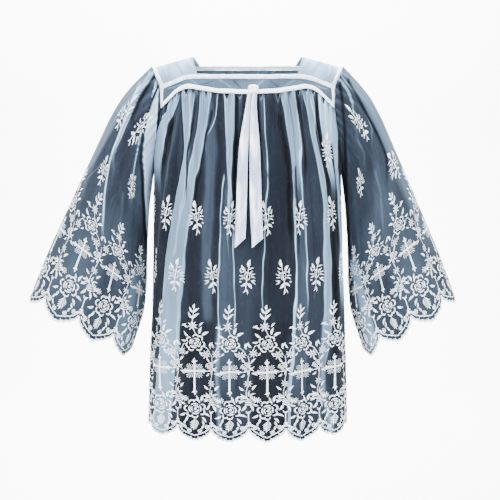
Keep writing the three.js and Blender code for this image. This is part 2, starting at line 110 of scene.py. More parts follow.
# %% The garment's sizes, in millimetres
SEAM = 0.4
SLEEVE_SEAM = 1.2
TAPE = 8.5
REPEAT, REPEATS = 92, 8
SCALLOP = 28
HEM, SIDE_RISE = -808, 16
ARMHOLE_FOOT = -250
YOKE_CORNER, YOKE_END = 183, 178
NECK_FRONT, NECK_SIDE = 105, 117
SHOULDER_END, SHOULDER_DROP, SHOULDER_TAPE = 204, 24, 8
SLEEVE_LENGTH = 570
SQUARENESS = 2.6
HALF_GIRTH = 285
GATHERS, GATHER_HEIGHT, GATHER_FADE = 26, 2.7, 110
YOKE_FOOT, MID_HEIGHT = -110, -500
WIDTHS = table("z half", (-20, 200), (-110, 200), (-250, 203), (-400, 206), (-600, 210), (-830, 213))
half_width = through(WIDTHS, "z", "half")
print("cut width of a panel and of a cuff:", REPEAT * REPEATS, "mm")


# %% The front
def face(name, way, depths, neck, gather, folds):
    return SimpleNamespace(
        name=name,
        way=way,
        depth=through(table("z depth", *depths), "z", "depth"),
        neck=through(table("x z", *neck), "x", "z"),
        gather=through(table("x z", *gather), "x", "z"),
        folds=folds,
    )


FRONT = face(
    "front",
    -1,
    depths=[
        (-20, 75),
        (-77, 97),
        (-108, 108),
        (-180, 125),
        (-250, 134),
        (-400, 143),
        (-600, 149),
        (-830, 153),
    ],
    neck=[(0, -43), (105, -42.5), (130, -45), (160, -56), (186, -66)],
    gather=[(0, -74), (60, -72), (100, -66), (125, -63), (145, -70), (165, -88), (184, -106)],
    folds=table(
        "top hem width depth",
        (-146, -252, 15, 9),
        (-100, -204, 22, 15),
        (-68, -128, 12, 6),
        (-35, -62, 15, 13),
        (0, -6, 16, 7),
        (37, 34, 11, 7),
        (79, 91, 17, 14),
        (112, 142, 11, 7),
        (144, 202, 24, 16),
        (172, 254, 15, 9),
    ),
)
print("front from neck tape to scallop tips:", FRONT.neck(0) - HEM, "mm")

# %% The back
BACK = face(
    "back",
    1,
    depths=[
        (-20, 76),
        (-62, 90),
        (-108, 103),
        (-180, 116),
        (-250, 124),
        (-400, 132),
        (-600, 140),
        (-830, 146),
    ],
    neck=[(0, -24), (105, -24), (130, -28), (160, -42), (186, -56)],
    gather=[(0, -64), (60, -63), (110, -60), (145, -68), (184, -98)],
    folds=table(
        "top hem width depth",
        (-158, -240, 17, 11),
        (-118, -178, 19, 14),
        (-76, -118, 14, 11),
        (-40, -54, 18, 14),
        (4, 6, 14, 10),
        (46, 66, 19, 15),
        (88, 124, 13, 10),
        (124, 186, 20, 15),
        (162, 246, 15, 10),
    ),
)
print("back from neck tape to scallop tips:", BACK.neck(0) - HEM, "mm")


# %% [markdown]
# ## The body's form
#
# Worn net stands off the body as a rounded oblong tube. A place on it is given by a share of its
# breadth, from -1 at the right side seam to 1 at the left one, and a height. Large folds and small
# gathers lift the cloth straight out of that tube. The gathers stand up just under the tape and melt
# away, and the large folds grow towards the hem. A cloth simulation could drape it too, but rules give
# the same folds each time and keep them on the solids.

# %% Places on the body
STEPS = 720
POWER = 2 / SQUARENESS
steps = np.linspace(0, math.pi / 2, STEPS + 1)


def run_along(points):
    """The length of a line of points from its start to each of them."""
    return np.concatenate([[0], np.cumsum(np.linalg.norm(np.diff(points, axis=0), axis=1))])


arch_x = half_width(MID_HEIGHT) * np.sin(steps) ** POWER
arch_y = FRONT.depth(MID_HEIGHT) * np.cos(steps).clip(0) ** POWER
shares = run_along(np.stack([arch_x, arch_y], -1))
shares /= shares[-1]


def angle_at(share):
    return np.sign(share) * np.interp(np.abs(share), shares, steps)


def way_out(face, x, y, z):
    def pull(v, size):
        return np.sign(v) * (np.abs(v) / size) ** (SQUARENESS - 1) / size

    return unit(np.stack([pull(x, half_width(z)), pull(y, face.depth(z)), 0 * x], -1))


def on_body(face, x, z):
    x, z = np.broadcast_arrays(np.asarray(x, float), np.asarray(z, float))
    rest = np.maximum(1 - (np.abs(x) / half_width(z)) ** SQUARENESS, 0)
    y = face.way * face.depth(z) * rest ** (1 / SQUARENESS)
    return np.stack([x, y, z], -1), way_out(face, x, y, z)


corner_angle = math.asin((YOKE_CORNER / float(half_width(YOKE_FOOT))) ** (1 / POWER))
corner_share = shares[round(corner_angle / (math.pi / 2) * STEPS)]
print("the yoke's corner is at", round(float(corner_share), 3), "of the way to the side seam")


def panel_top(face, share):
    x = np.minimum(half_width(YOKE_FOOT) * np.abs(np.sin(angle_at(share))) ** POWER, YOKE_CORNER)
    past = np.clip((np.abs(share) - corner_share) / (1 - corner_share), 0, 1)
    return lerp(face.gather(x) - TAPE / 2 - SEAM, ARMHOLE_FOOT, np.sin(past * math.pi / 2))


# %% Folds and gathers
def pleat(v):
    return 1 / (1 + v**4)


def gather_rise(below):
    return lerp(0.3, 1, smooth(0, 16, below)) * np.exp(-below / GATHER_FADE)


def gathers(face, share):
    turns = share / (2 * corner_share) * GATHERS
    uneven = 0.9 * np.sin(turns * 0.83 + face.way) + 0.6 * np.sin(turns * 0.37 + 1.2)
    return 0.5 + 0.5 * np.cos(2 * math.pi * turns + uneven)


def large_folds(folds, place, sink, reach):
    total = 0
    for top, hem, width, depth in zip(*folds.values()):
        total = total + depth * pleat((place - lerp(top, hem, sink)) / (width * reach))
    return total


def fold_lift(face, share, below):
    in_yoke = 1 - smooth(corner_share - 0.05, corner_share + 0.01, np.abs(share))
    seam_fade = 1 - smooth(0.9, 0.99, np.abs(share))
    edge_fade = lerp(smooth(0, 70, below), 1, in_yoke)
    sink = smooth(-200, 900, below) * 1.25 - 0.12
    main = large_folds(face.folds, share * HALF_GIRTH, sink, lerp(0.5, 1, smooth(0, 320, below)))
    small = 2 * GATHER_HEIGHT * gathers(face, share) * gather_rise(below) * in_yoke
    return small + main * lerp(0.1, 1, smooth(0, 190, below)) * seam_fade * edge_fade


print("the front at its middle, 300 mm under the tape, lifts", fold_lift(FRONT, 0.0, 300.0).round(1), "mm")


# %% Places on a panel, and its scalloped edge
def on_panel(face, share, z):
    angle = angle_at(share)
    x = half_width(z) * np.sign(angle) * np.abs(np.sin(angle)) ** POWER
    y = face.way * face.depth(z) * np.cos(angle).clip(0) ** POWER
    out = way_out(face, x, y, z)
    return np.stack([x, y, z], -1) + fold_lift(face, share, panel_top(face, share) - z)[..., None] * out, out


def scallop(along):
    part = along / REPEAT
    off = np.abs(2 * (part - np.floor(part)) - 1)
    return SCALLOP * (0.45 * off + 0.25 * off**2 + 0.3 * off**5)


print("rise of the edge from a tip to a notch:", scallop(REPEAT * np.linspace(0.5, 1, 5)).round(1), "mm")


# %% [markdown]
# ## Pressed creases
#
# Net shows its folds by density: where it lies double it looks pale, and a single layer looks slate. Between
# two folds the cloth sinks into a slit that is painted dark as shadow, and the rim of a fold is painted pale,
# partly for the doubled net there and partly as a painted highlight. Each band below is one such fold, given
# with its two edges at a few heights. It lifts the sheet a little, and it is written into the `tone`
# attribute that the net's colour reads. The tones have names, from the painted shadow of a slit at 0 to a
# bright edge with its painted highlight. Lines are the same for what is too narrow for a band: the rim of a
# fold, a wisp, or the painted shadow of the slit beside it. A picture could hold them too, but numbers stay
# sharp at any size and move the surface as well.

# %% Bands of the front, as heights and distances from the centre plane
# The darkest tone is painted shadow in slits and hollows; the palest is a fold's rim, partly doubled net and
# partly painted highlight.
SHADOW, DARK, SINGLE, LIGHT, DOUBLE, EDGE_HIGHLIGHT = 0.0, 0.14, 0.25, 0.4, 0.78, 0.95
RAISED_FROM = 0.7  # bands that are at least this pale lie double, and stand up


def band(tone, *rows):
    return tone, table("z left right", *rows)


def line(tone, half, *rows):
    return tone, half, table("z x", *rows)


FRONT_BANDS = [
    band(DARK, (-80, -84, -44), (-192, -90, -44), (-257, -102, -42), (-413, -124, -60), (-600, -120, -62)),
    band(LIGHT, (-80, -98, -72), (-192, -88, -62), (-257, -88, -66), (-413, -96, -74), (-560, -92, -74)),
    band(LIGHT, (-240, -44, -30), (-330, -50, -29), (-413, -56, -29), (-547, -58, -27), (-690, -60, -26)),
    band(DARK, (-80, 38, 70), (-192, 42, 80), (-257, 44, 86), (-413, 36, 97), (-600, 38, 100)),
    band(LIGHT, (-240, 88, 108), (-330, 94, 116), (-413, 99, 121), (-560, 96, 126), (-690, 88, 124)),
    band(DARK, (-230, 150, 170), (-330, 160, 180), (-413, 167, 186), (-560, 176, 192), (-700, 180, 196)),
    band(DARK, (-150, -176, -160), (-257, -172, -146), (-413, -196, -168), (-600, -200, -172)),
    band(
        DOUBLE,
        (-80, -136, -109),
        (-130, -134, -115),
        (-192, -130, -120),
        (-257, -138, -122),
        (-413, -165, -146),
        (-547, -170, -154),
        (-640, -172, -160),
    ),
    band(
        DOUBLE,
        (-80, -99, -75),
        (-130, -101, -82),
        (-192, -110, -92),
        (-257, -120, -105),
        (-413, -147, -127),
        (-547, -155, -140),
        (-640, -160, -148),
    ),
    band(DOUBLE, (-80, -49, -26), (-130, -46, -27), (-192, -43, -29), (-257, -41, -33), (-380, -40, -38)),
    band(0.8, (-76, 66, 99), (-109, 74, 103), (-153, 80, 108), (-209, 87, 111), (-250, 92, 111)),
    band(
        DOUBLE,
        (-300, 92, 97),
        (-413, 97, 101),
        (-484, 96, 101),
        (-603, 90, 96),
        (-724, 82, 88),
        (-860, 84, 90),
    ),
    band(
        DOUBLE,
        (-76, 113, 134),
        (-109, 122, 138),
        (-153, 129, 138),
        (-194, 135, 144),
        (-246, 142, 152),
        (-302, 148, 159),
        (-377, 151, 162),
        (-453, 155, 167),
        (-560, 156, 168),
        (-660, 152, 164),
    ),
    band(0.92, (-84, 146, 178), (-135, 148, 190), (-194, 153, 191), (-238, 160, 191), (-268, 168, 190)),
    band(0.86, (-246, 181, 193), (-302, 182, 197), (-358, 181, 204), (-434, 184, 206), (-520, 187, 206)),
    band(
        0.84,
        (-84, -158, -140),
        (-112, -168, -149),
        (-140, -184, -164),
        (-180, -197, -174),
        (-250, -199, -182),
    ),
    band(LIGHT, (-90, -142, -136), (-165, -154, -148), (-257, -170, -163), (-413, -192, -184)),
    band(0.1, (-560, -140, -66), (-700, -142, -66), (-860, -142, -66)),
    band(0.1, (-560, 12, 80), (-700, 10, 80), (-860, 10, 80)),
    band(
        DOUBLE,
        (-420, -164, -130),
        (-484, -167, -138),
        (-572, -173, -146),
        (-718, -186, -158),
        (-860, -200, -178),
    ),
    band(0.64, (-560, -64, -55), (-663, -67, -58), (-724, -64, -55), (-860, -66, -54)),
    band(0.66, (-560, 156, 168), (-700, 153, 165), (-770, 166, 178), (-860, 169, 182)),
]
print("bands pressed into the front:", len(FRONT_BANDS))

# %% Lines of the front
FRONT_LINES = [
    line(EDGE_HIGHLIGHT, 0.8, (-84, -62), (-120, -65), (-140, -71), (-170, -86)),
    line(EDGE_HIGHLIGHT, 0.9, (-84, 34), (-192, 38), (-257, 41), (-413, 33), (-520, 31)),
    line(EDGE_HIGHLIGHT, 1.1, (-250, -49), (-330, -54), (-413, -58), (-600, -60)),
    line(EDGE_HIGHLIGHT, 0.9, (-250, -36), (-330, -31), (-413, -28), (-560, -27)),
    line(EDGE_HIGHLIGHT, 0.9, (-250, 91), (-330, 95), (-413, 98), (-484, 97), (-603, 91)),
    line(0.56, 0.9, (-84, 84), (-130, 92), (-200, 99), (-270, 102)),
    line(EDGE_HIGHLIGHT, 0.9, (-200, 108), (-330, 115), (-413, 121), (-500, 125)),
    line(EDGE_HIGHLIGHT, 0.8, (-84, -119), (-192, -117)),
    line(EDGE_HIGHLIGHT, 0.8, (-84, 130), (-192, 147)),
    line(LIGHT, 0.7, (-84, 12), (-192, 30), (-260, 44)),
    line(SHADOW, 1.3, (-96, -138), (-192, -132), (-257, -141), (-413, -168), (-560, -175)),
    line(SHADOW, 1.2, (-100, -107), (-192, -118), (-257, -121)),
    line(SHADOW, 1.5, (-120, -74), (-192, -90), (-300, -108)),
    line(SHADOW, 2.6, (-82, -22), (-192, -24), (-257, -27), (-330, -30)),
    line(SHADOW, 1.8, (-82, 19), (-192, 24), (-257, 24), (-330, 22)),
    line(SHADOW, 1.1, (-236, 98), (-300, 101), (-380, 106)),
    line(SHADOW, 2.4, (-84, 105), (-150, 112), (-192, 116), (-240, 118)),
    line(SHADOW, 3.0, (-100, 142), (-142, 143), (-179, 148), (-224, 154), (-262, 160)),
    line(SHADOW, 4.4, (-320, 172), (-388, 171), (-434, 172), (-520, 176), (-640, 176)),
    line(SHADOW, 4.0, (-134, -154), (-164, -163), (-192, -170), (-221, -177), (-245, -180)),
    line(SHADOW, 4.4, (-130, 68), (-160, 72), (-209, 79), (-259, 83), (-303, 85), (-360, 88)),
    line(SHADOW, 2.6, (-194, 173), (-227, 175), (-268, 178), (-343, 180), (-400, 184)),
]
print("lines pressed into the front:", len(FRONT_LINES))

# %% Bands and lines of the back
BACK_BANDS = [
    band(DARK, (-75, -70, -34), (-250, -82, -36), (-500, -100, -48), (-690, -106, -50)),
    band(DARK, (-75, 50, 84), (-250, 60, 104), (-500, 72, 122), (-690, 76, 126)),
    band(LIGHT, (-75, 4, 24), (-250, 2, 26), (-500, 4, 30), (-660, 6, 28)),
    band(DOUBLE, (-75, -150, -124), (-200, -146, -130), (-350, -160, -142), (-560, -176, -160)),
    band(DOUBLE, (-75, -104, -86), (-200, -112, -98), (-350, -124, -112), (-520, -136, -126)),
    band(DOUBLE, (-75, -32, -12), (-200, -34, -20), (-350, -38, -30), (-520, -44, -40)),
    band(DOUBLE, (-75, 32, 48), (-200, 36, 48), (-350, 44, 54), (-600, 52, 62)),
    band(DOUBLE, (-75, 92, 114), (-200, 104, 120), (-350, 122, 134), (-540, 136, 148)),
    band(DOUBLE, (-80, 146, 170), (-200, 154, 176), (-350, 168, 186), (-560, 180, 194)),
]
BACK_LINES = [
    line(EDGE_HIGHLIGHT, 0.9, (-80, -60), (-250, -66), (-520, -80)),
    line(EDGE_HIGHLIGHT, 0.9, (-80, 70), (-250, 80), (-480, 94)),
    line(EDGE_HIGHLIGHT, 1.0, (-200, 2), (-400, 1), (-600, 3)),
    line(SHADOW, 2.0, (-80, -122), (-200, -128), (-380, -142)),
    line(SHADOW, 1.6, (-80, -10), (-200, -17), (-330, -26)),
    line(SHADOW, 2.2, (-80, 89), (-200, 101), (-380, 122)),
    line(SHADOW, 1.6, (-80, 27), (-200, 31), (-330, 38)),
]
print("pressed into the back:", len(BACK_BANDS), "bands and", len(BACK_LINES), "lines")


# %% How bands and lines are pressed into a sheet
FOLD_HEIGHT, LINE_HEIGHT, SLIT_DEPTH = 1.3, 0.9, 1.6  # how far they stand up or sink


def band_mask(across, left, right, soft):
    return smooth(left - soft, left + soft, across) * (1 - smooth(right - soft, right + soft, across))


def place_of(x, z):
    """How far round the body a distance from the centre plane lies."""
    angle = np.arcsin((np.abs(x) / half_width(z)).clip(0, 0.9999) ** (1 / POWER))
    return np.sign(x) * np.interp(angle, steps, shares) * HALF_GIRTH


def press(tone, relief, across, z, bands, lines, place=lambda x, z: x, where=1):
    """Presses bands and lines into the tone and the relief of a sheet, where a mask allows them."""
    def reach(rows, over, under):
        from_top = 1 - smooth(rows["z"][0], rows["z"][0] + 14, z)
        return where * from_top * smooth(rows["z"][-1] - over, rows["z"][-1] + under, z)

    for target, rows in bands:
        left, right = (place(through(rows, "z", side)(z), z) for side in ("left", "right"))
        doubled = target >= RAISED_FROM
        mask = reach(rows, 60, 40) * band_mask(across, left, right, 1.1 if doubled else 5)
        # A doubled band is painted paler along its rims than in its core: a painted highlight on the edges of
        # the fold.
        core = band_mask(across, left + 2.4, right - 2.4, 2.0) if doubled else 0.4
        relief = relief + mask * (FOLD_HEIGHT if doubled else 0)
        tone = lerp(tone, target + 0.06 - 0.15 * core, mask)
    for target, half, rows in lines:
        away = (across - place(through(rows, "z", "x")(z), z)) / (half * 1.3)
        mask = reach(rows, 50, 20) * np.exp(-(away**2))
        relief = relief + mask * (-SLIT_DEPTH if target == SHADOW else LINE_HEIGHT)
        tone = lerp(tone, target, mask)
    return tone, relief


print("a band's edge fades in over 2.2 mm:", band_mask(np.array([-1.1, 0, 1.1]), 0, 20, 1.1))


# %% Creases of a panel, with painted shade in the small hollows where the cloth bunches under the tape
SHADED_HOLLOWS = table(
    "x half tall",
    (-150, 4, 11),
    (-128, 5, 13),
    (-102, 3.5, 9),
    (-86, 3, 15),
    (-43, 5.5, 14),
    (-16, 5, 8),
    (28, 3.5, 11),
    (63, 4.5, 17),
    (106, 3.5, 13),
    (122, 4, 8),
    (136, 5, 10),
    (158, 4, 15),
)
print("hollows under a tape:", len(SHADED_HOLLOWS["x"]))


def panel_creases(face, share, z):
    bands, lines = (FRONT_BANDS, FRONT_LINES) if face is FRONT else (BACK_BANDS, BACK_LINES)
    below = panel_top(face, share) - z
    ripple = 1.1 * np.sin(z / 31 + share * 40) + 0.6 * np.sin(z / 11.3 + share * 71)
    across = share * HALF_GIRTH + ripple * smooth(20, 120, below)
    small = gathers(face, share)
    # Near the tape the ridges of the gathers are painted paler and their troughs darker: painted light and
    # shade.
    tone = SINGLE + 0.04 * np.sin(share * 23 + z / 150) + 0.36 * (small - 0.45) * np.exp(-below / 38)
    tone, relief = press(tone, np.zeros_like(tone), across, z, bands, lines, place_of)
    fine = np.sin(share * 410 + 3 * np.sin(share * 37) + z / 40)
    tone = tone + 0.085 * fine * np.exp(-below.clip(0) / 55)
    # Right under the tape the troughs between the gathers are painted dark as shadow.
    tone = lerp(tone, SHADOW, 0.75 * np.exp(-below.clip(0) / 7) * (1 - small) ** 1.5)
    # Each hollow is painted as a shadow, ringed by a pale rim in the edge tone with its painted highlight.
    for x, half, tall in zip(*SHADED_HOLLOWS.values()):
        off = np.abs(across - place_of(-face.way * x, z)) / half + (below / tall).clip(0)
        tone = lerp(tone, EDGE_HIGHLIGHT, 0.7 * np.exp(-(((off - 1.2) / 0.16) ** 2)))
        tone = lerp(tone, SHADOW, 1 - smooth(0.75, 1.05, off))
    return tone, relief


# %% [markdown]
# ## The sheet of a panel
#
# A weaver's sheet has an even grid of threads. The sheet follows this: its columns lie at even steps of
# cloth along each row, so that the embroidery, which is stitched while the net lies flat, can be laid
# out flat too and carried onto the folds afterwards. `Sheet` keeps the grid and finds a place on it.

# %% The grid of a sheet, and how the flat cloth maps onto it
FLAT = REPEAT * REPEATS
print("net before it is gathered:", FLAT, "mm wide")


class Sheet:
    def __init__(self, name, points, out, tone, downs, drop, edge, ring):
        self.name, self.points, self.tone, self.ring = name, points, tone, ring
        self.downs, self.drop, self.edge, self.width = downs, drop, edge, FLAT
        self.height = drop * (1 - downs[:, None] * edge)
        wide = np.concatenate([points[:, -2:-1], points, points[:, 1:2]], 1) if ring else points
        across = np.gradient(wide, axis=1)
        across = across[:, 1:-1] if ring else across
        self.normal = unit(np.cross(across, np.gradient(points, axis=0)))
        self.turned = np.sum(self.normal * out) < 0
        if self.turned:
            self.normal = -self.normal

    def at(self, u, w, off):
        """The place of a point of the flat cloth, a distance off its face."""
        columns = self.points.shape[1] - 1
        u = np.mod(u, FLAT) if self.ring else np.clip(u, 0, FLAT)
        c = u / FLAT * columns
        i = np.clip(c.astype(int), 0, columns - 1)
        drop, edge = (lerp(v[i], v[i + 1], c - i) for v in (self.drop, self.edge))
        down = (1 - w / drop) / edge
        r = np.interp(down, self.downs, np.arange(len(self.downs)))
        r = r + np.maximum(down - 1, 0) / (self.downs[-1] - self.downs[-2])
        j = np.clip(r.astype(int), 0, len(self.downs) - 2)
        s, t = (c - i)[:, None], (r - j)[:, None]

        def mixed(grid):
            return lerp(lerp(grid[j, i], grid[j, i + 1], s), lerp(grid[j + 1, i], grid[j + 1, i + 1], s), t)

        return mixed(self.points) + unit(mixed(self.normal)) * off[:, None]


# %% From a sheet to a mesh
def linked(name, data):
    """A new object at the origin, in the scene."""
    made = bpy.data.objects.new(name, data)
    bpy.context.collection.objects.link(made)
    return made


def grid_mesh(name, sheet):
    """A mesh of one layer, with the flat cloth as its UV map and the tone as an attribute."""
    rows, columns = sheet.tone.shape
    kept = columns - 1 if sheet.ring else columns
    number = np.arange(rows * kept).reshape(rows, kept)
    number = np.concatenate([number, number[:, :1]], 1) if sheet.ring else number
    r, c = np.meshgrid(np.arange(rows - 1), np.arange(columns - 1), indexing="ij")
    corners = [(r, c), (r + 1, c), (r + 1, c + 1), (r, c + 1)]
    corners = corners[::-1] if sheet.turned else corners
    loops = np.stack([number[a, b] for a, b in corners], -1).ravel()
    u = np.broadcast_to(np.arange(columns) / (columns - 1) * sheet.width, (rows, columns))
    uv = np.stack([np.stack([u[a, b], sheet.height[a, b]], -1) for a, b in corners], 2)
    mesh = bpy.data.meshes.new(name)
    mesh.vertices.add(rows * kept)
    mesh.vertices.foreach_set("co", (sheet.points[:, :kept] * MM).ravel())
    mesh.loops.add(len(loops))
    mesh.loops.foreach_set("vertex_index", loops.astype(np.int32))
    mesh.polygons.add(len(loops) // 4)
    mesh.polygons.foreach_set("loop_start", np.arange(0, len(loops), 4, dtype=np.int32))
    mesh.uv_layers.new(name="flat").data.foreach_set("uv", (uv * MM).ravel())
    mesh.attributes.new("tone", "FLOAT", "POINT").data.foreach_set("value", sheet.tone[:, :kept].ravel())
    mesh.update(calc_edges=True)
    mesh.shade_smooth()
    return linked(name, mesh)


# %% The front and back panels
def even_steps(points, values, cells):
    """The values at even steps of cloth along a row of points."""
    lengths = run_along(points)
    return np.interp(np.linspace(0, lengths[-1], cells + 1), lengths, values)


def panel_sheet(face, cells=480, rows=140):
    downs = np.concatenate([np.linspace(0, 0.1, 24), np.linspace(0.1, 1, rows)[1:]])[:, None]
    side = 1 - SEAM / 2 / HALF_GIRTH
    walk = np.linspace(-side, side, 901)

    def hem(share):
        return HEM + SIDE_RISE * share**4

    walked, _ = on_panel(face, walk, lerp(panel_top(face, walk), hem(walk), downs))
    share = np.array([even_steps(row[:, :2], walk, cells) for row in walked])
    top = panel_top(face, share)
    drop = top - hem(share)
    edge = 1 - scallop(np.linspace(0, FLAT, cells + 1)) / drop
    z = lerp(top, hem(share), downs * edge)
    points, out = on_panel(face, share, z)
    tone, relief = panel_creases(face, share, z)
    points = points + relief[..., None] * out
    return Sheet(f"{face.name}_net", points, out, tone, downs[:, 0], drop[-1], edge[-1], False)


panels = [panel_sheet(face) for face in (FRONT, BACK)]
for sheet in panels:
    print(sheet.name, sheet.points.shape, "tone", sheet.tone.min().round(2), sheet.tone.max().round(2))


# %% [markdown]
# ## The yoke and the armholes
#
# The yoke is a square frame: two shoulder pieces, and bands across the front and back. Its outer edge,
# from the front corner over the shoulder to the back corner, carries a tape and receives the sleeve. The
# edge is given by one rule, so that the tape, the shoulder piece and the sleeve meet without a gap.

# %% Places on the shoulder and round the armhole
CREST = math.radians(70)
ARMHOLE_EDGE = 186
ON_BODY = 0.4
LEFT = SimpleNamespace(name="left", way=1, spread=0.945)
RIGHT = SimpleNamespace(name="right", way=-1, spread=1.03)


def on_shoulder(side, x_edge, x_crest, along):
    """A place between the front neck tape (-1), the shoulder line (0) and the back neck tape (1)."""
    x_edge, x_crest, along = np.broadcast_arrays(*(np.asarray(v, float) for v in (x_edge, x_crest, along)))
    turn = np.abs(along) * CREST
    over, down = np.sin(turn) / math.sin(CREST), (1 - np.cos(turn)) / (1 - math.cos(CREST))
    ends = [on_body(face, x_edge, face.neck(x_edge) + TAPE / 2 + SEAM) for face in (FRONT, BACK)]
    point, out = (np.where((along < 0)[..., None], a, b) for a, b in zip(*ends))
    lean = np.abs(along) * math.pi / 2
    crest = -SHOULDER_DROP * (x_crest - NECK_SIDE) / (SHOULDER_END - NECK_SIDE)
    x, y, z = lerp(x_crest, x_edge, down), point[..., 1] * over, lerp(crest, point[..., 2], down)
    place = np.stack([x, y, z], -1)
    out = unit(np.concatenate([out[..., :2] * np.sin(lean)[..., None], np.cos(lean)[..., None]], -1))
    flip = np.array([side.way, 1, 1])
    return place * flip, out * flip


def on_yoke_edge(side, along, outer):
    """A place on the yoke's outer edge, from the front corner (-1) to the back corner (1)."""
    along = np.asarray(along, float)
    x_top = ARMHOLE_EDGE if outer else YOKE_END + SEAM
    x_low = YOKE_CORNER if outer else YOKE_END + SEAM
    x_crest = SHOULDER_END if outer else SHOULDER_END - SHOULDER_TAPE
    upper = on_shoulder(side, x_top, x_crest, np.clip(along / (1 - ON_BODY), -1, 1))
    t = np.clip((np.abs(along) - (1 - ON_BODY)) / ON_BODY, 0, 1)
    flip = np.array([side.way, 1, 1])
    lower = []
    for face in (FRONT, BACK):
        z = lerp(face.neck(x_top) + TAPE / 2 + SEAM, face.gather(x_low) - TAPE / 2, t)
        lower.append([v * flip for v in on_body(face, lerp(x_top, x_low, t), z)])
    low = [np.where((along < 0)[..., None], a, b) for a, b in zip(*lower)]
    above = (np.abs(along) <= 1 - ON_BODY)[..., None]
    return tuple(np.where(above, a, b) for a, b in zip(upper, low))


def armhole_half(face, side):
    """The armhole's edge from the shoulder down to the underarm, as points at given parts of its length."""
    yoke, _ = on_yoke_edge(side, face.way * np.arange(40) / 40 + 1e-9 * face.way, True)
    share = side.way * lerp(corner_share, 1, np.arange(41) / 40)
    panel, _ = on_panel(face, share, panel_top(face, share))
    points = np.concatenate([yoke, panel])
    lengths = run_along(points)
    lengths /= lengths[-1]
    return lambda part: np.stack([np.interp(part, lengths, points[:, k]) for k in range(3)], -1)


half_edge = armhole_half(FRONT, LEFT)(np.linspace(0, 1, 50))
print("front half of the left armhole:", run_along(half_edge)[-1].round(), "mm")


# %% [markdown]
# ## The sleeves
#
# A sleeve is a wide tube set into the armhole. Each ring is an egg-shaped loop between an outer and an
# inner edge, and the first rings blend from the armhole's own edge. Angle 0 is the outer edge, 90
# degrees the front and 180 the inner edge. Its large folds are given in degrees round the sleeve, and its
# bands and lines as they are seen from the front. Rings by rule let each fold widen towards the cuff.

# %% The sleeve's form
SLEEVE = table(
    "along outX outZ inX inZ depth forward lift",
    (0, 204, -24, 203, -250, 64, 0, 0),
    (0.12, 250, -68, 210, -292, 68, 2, 0),
    (0.26, 287, -130, 215, -340, 72, 5, 1),
    (0.4, 318, -196, 218, -390, 76, 8, 3),
    (0.54, 350, -266, 220, -440, 79, 11, 6),
    (0.69, 385, -342, 222, -494, 82, 14, 7),
    (0.84, 424, -428, 230, -557, 85, 17, 10),
    (1, 464, -527, 262, -653, 88, 20, 12),
)
SLEEVE_FOLDS = table(
    "top hem width depth",
    (12, 20, 17, 7),
    (34, 58, 13, 9),
    (58, 98, 12, 8),
    (84, 136, 17, 9),
    (-20, -34, 14, 8),
    (-46, -80, 15, 9),
    (-76, -128, 16, 8),
)
SLEEVE_GATHERS, SLEEVE_HEAD = 18, 115
sleeve_line = {name: through(SLEEVE, "along", name) for name in SLEEVE}
print("a cuff's outer edge lies at", sleeve_line["outX"](1).round(), sleeve_line["outZ"](1).round(), "mm")


# %% Places on a sleeve
def sleeve_gathers(place):
    turns = place / (2 * SLEEVE_HEAD) * SLEEVE_GATHERS
    return 0.5 + 0.5 * np.cos(2 * math.pi * turns + 0.8 * np.sin(turns * 0.9))


def sleeve_lift(place, along):
    below = along * SLEEVE_LENGTH
    in_head = 1 - smooth(SLEEVE_HEAD - 15, SLEEVE_HEAD, np.abs(place))
    sink = smooth(-120, 650, below) * 1.2 - 0.1
    main = large_folds(SLEEVE_FOLDS, place, sink, lerp(0.45, 1, smooth(0, 260, below)))
    small = 2 * GATHER_HEIGHT * sleeve_gathers(place) * gather_rise(below) * in_head
    return small + main * lerp(0.1, 1, smooth(0, 170, below))


def on_sleeve(side, halves, angle, along):
    angle, along = np.broadcast_arrays(angle, along)
    line = {name: curve(along) for name, curve in sleeve_line.items()}
    zero = np.zeros_like(angle)
    outer = np.stack([SHOULDER_END + (line["outX"] - SHOULDER_END) * side.spread, zero, line["outZ"]], -1)
    inner = np.stack([line["inX"], zero, line["inZ"]], -1)
    across = (outer - inner) / 2
    c, s = np.cos(angle), np.sin(angle)
    deep = line["depth"] * (1 + 0.2 * c)
    point = (outer + inner) / 2 + across * c[..., None]
    point[..., 1] = -deep * s - line["forward"]
    point[..., 2] += line["lift"] * s
    out = across * (c / np.sum(across**2, -1))[..., None]
    out[..., 1] = -s / deep
    flip = np.array([side.way, 1, 1])
    point, out = point * flip, unit(out) * flip
    turn = np.mod(angle, 2 * math.pi)
    seam = np.where((turn <= math.pi)[..., None], halves[0](turn / math.pi), halves[1](2 - turn / math.pi))
    seam[..., 0] += side.way * SLEEVE_SEAM
    hold = (1 - smooth(0, 0.2, along))[..., None]
    out = unit(lerp(out, np.stack([zero, out[..., 1], out[..., 2]], -1), hold))
    place = np.mod(np.degrees(angle) + 180, 360) - 180
    return lerp(point, seam, hold) + sleeve_lift(place, along)[..., None] * out, out


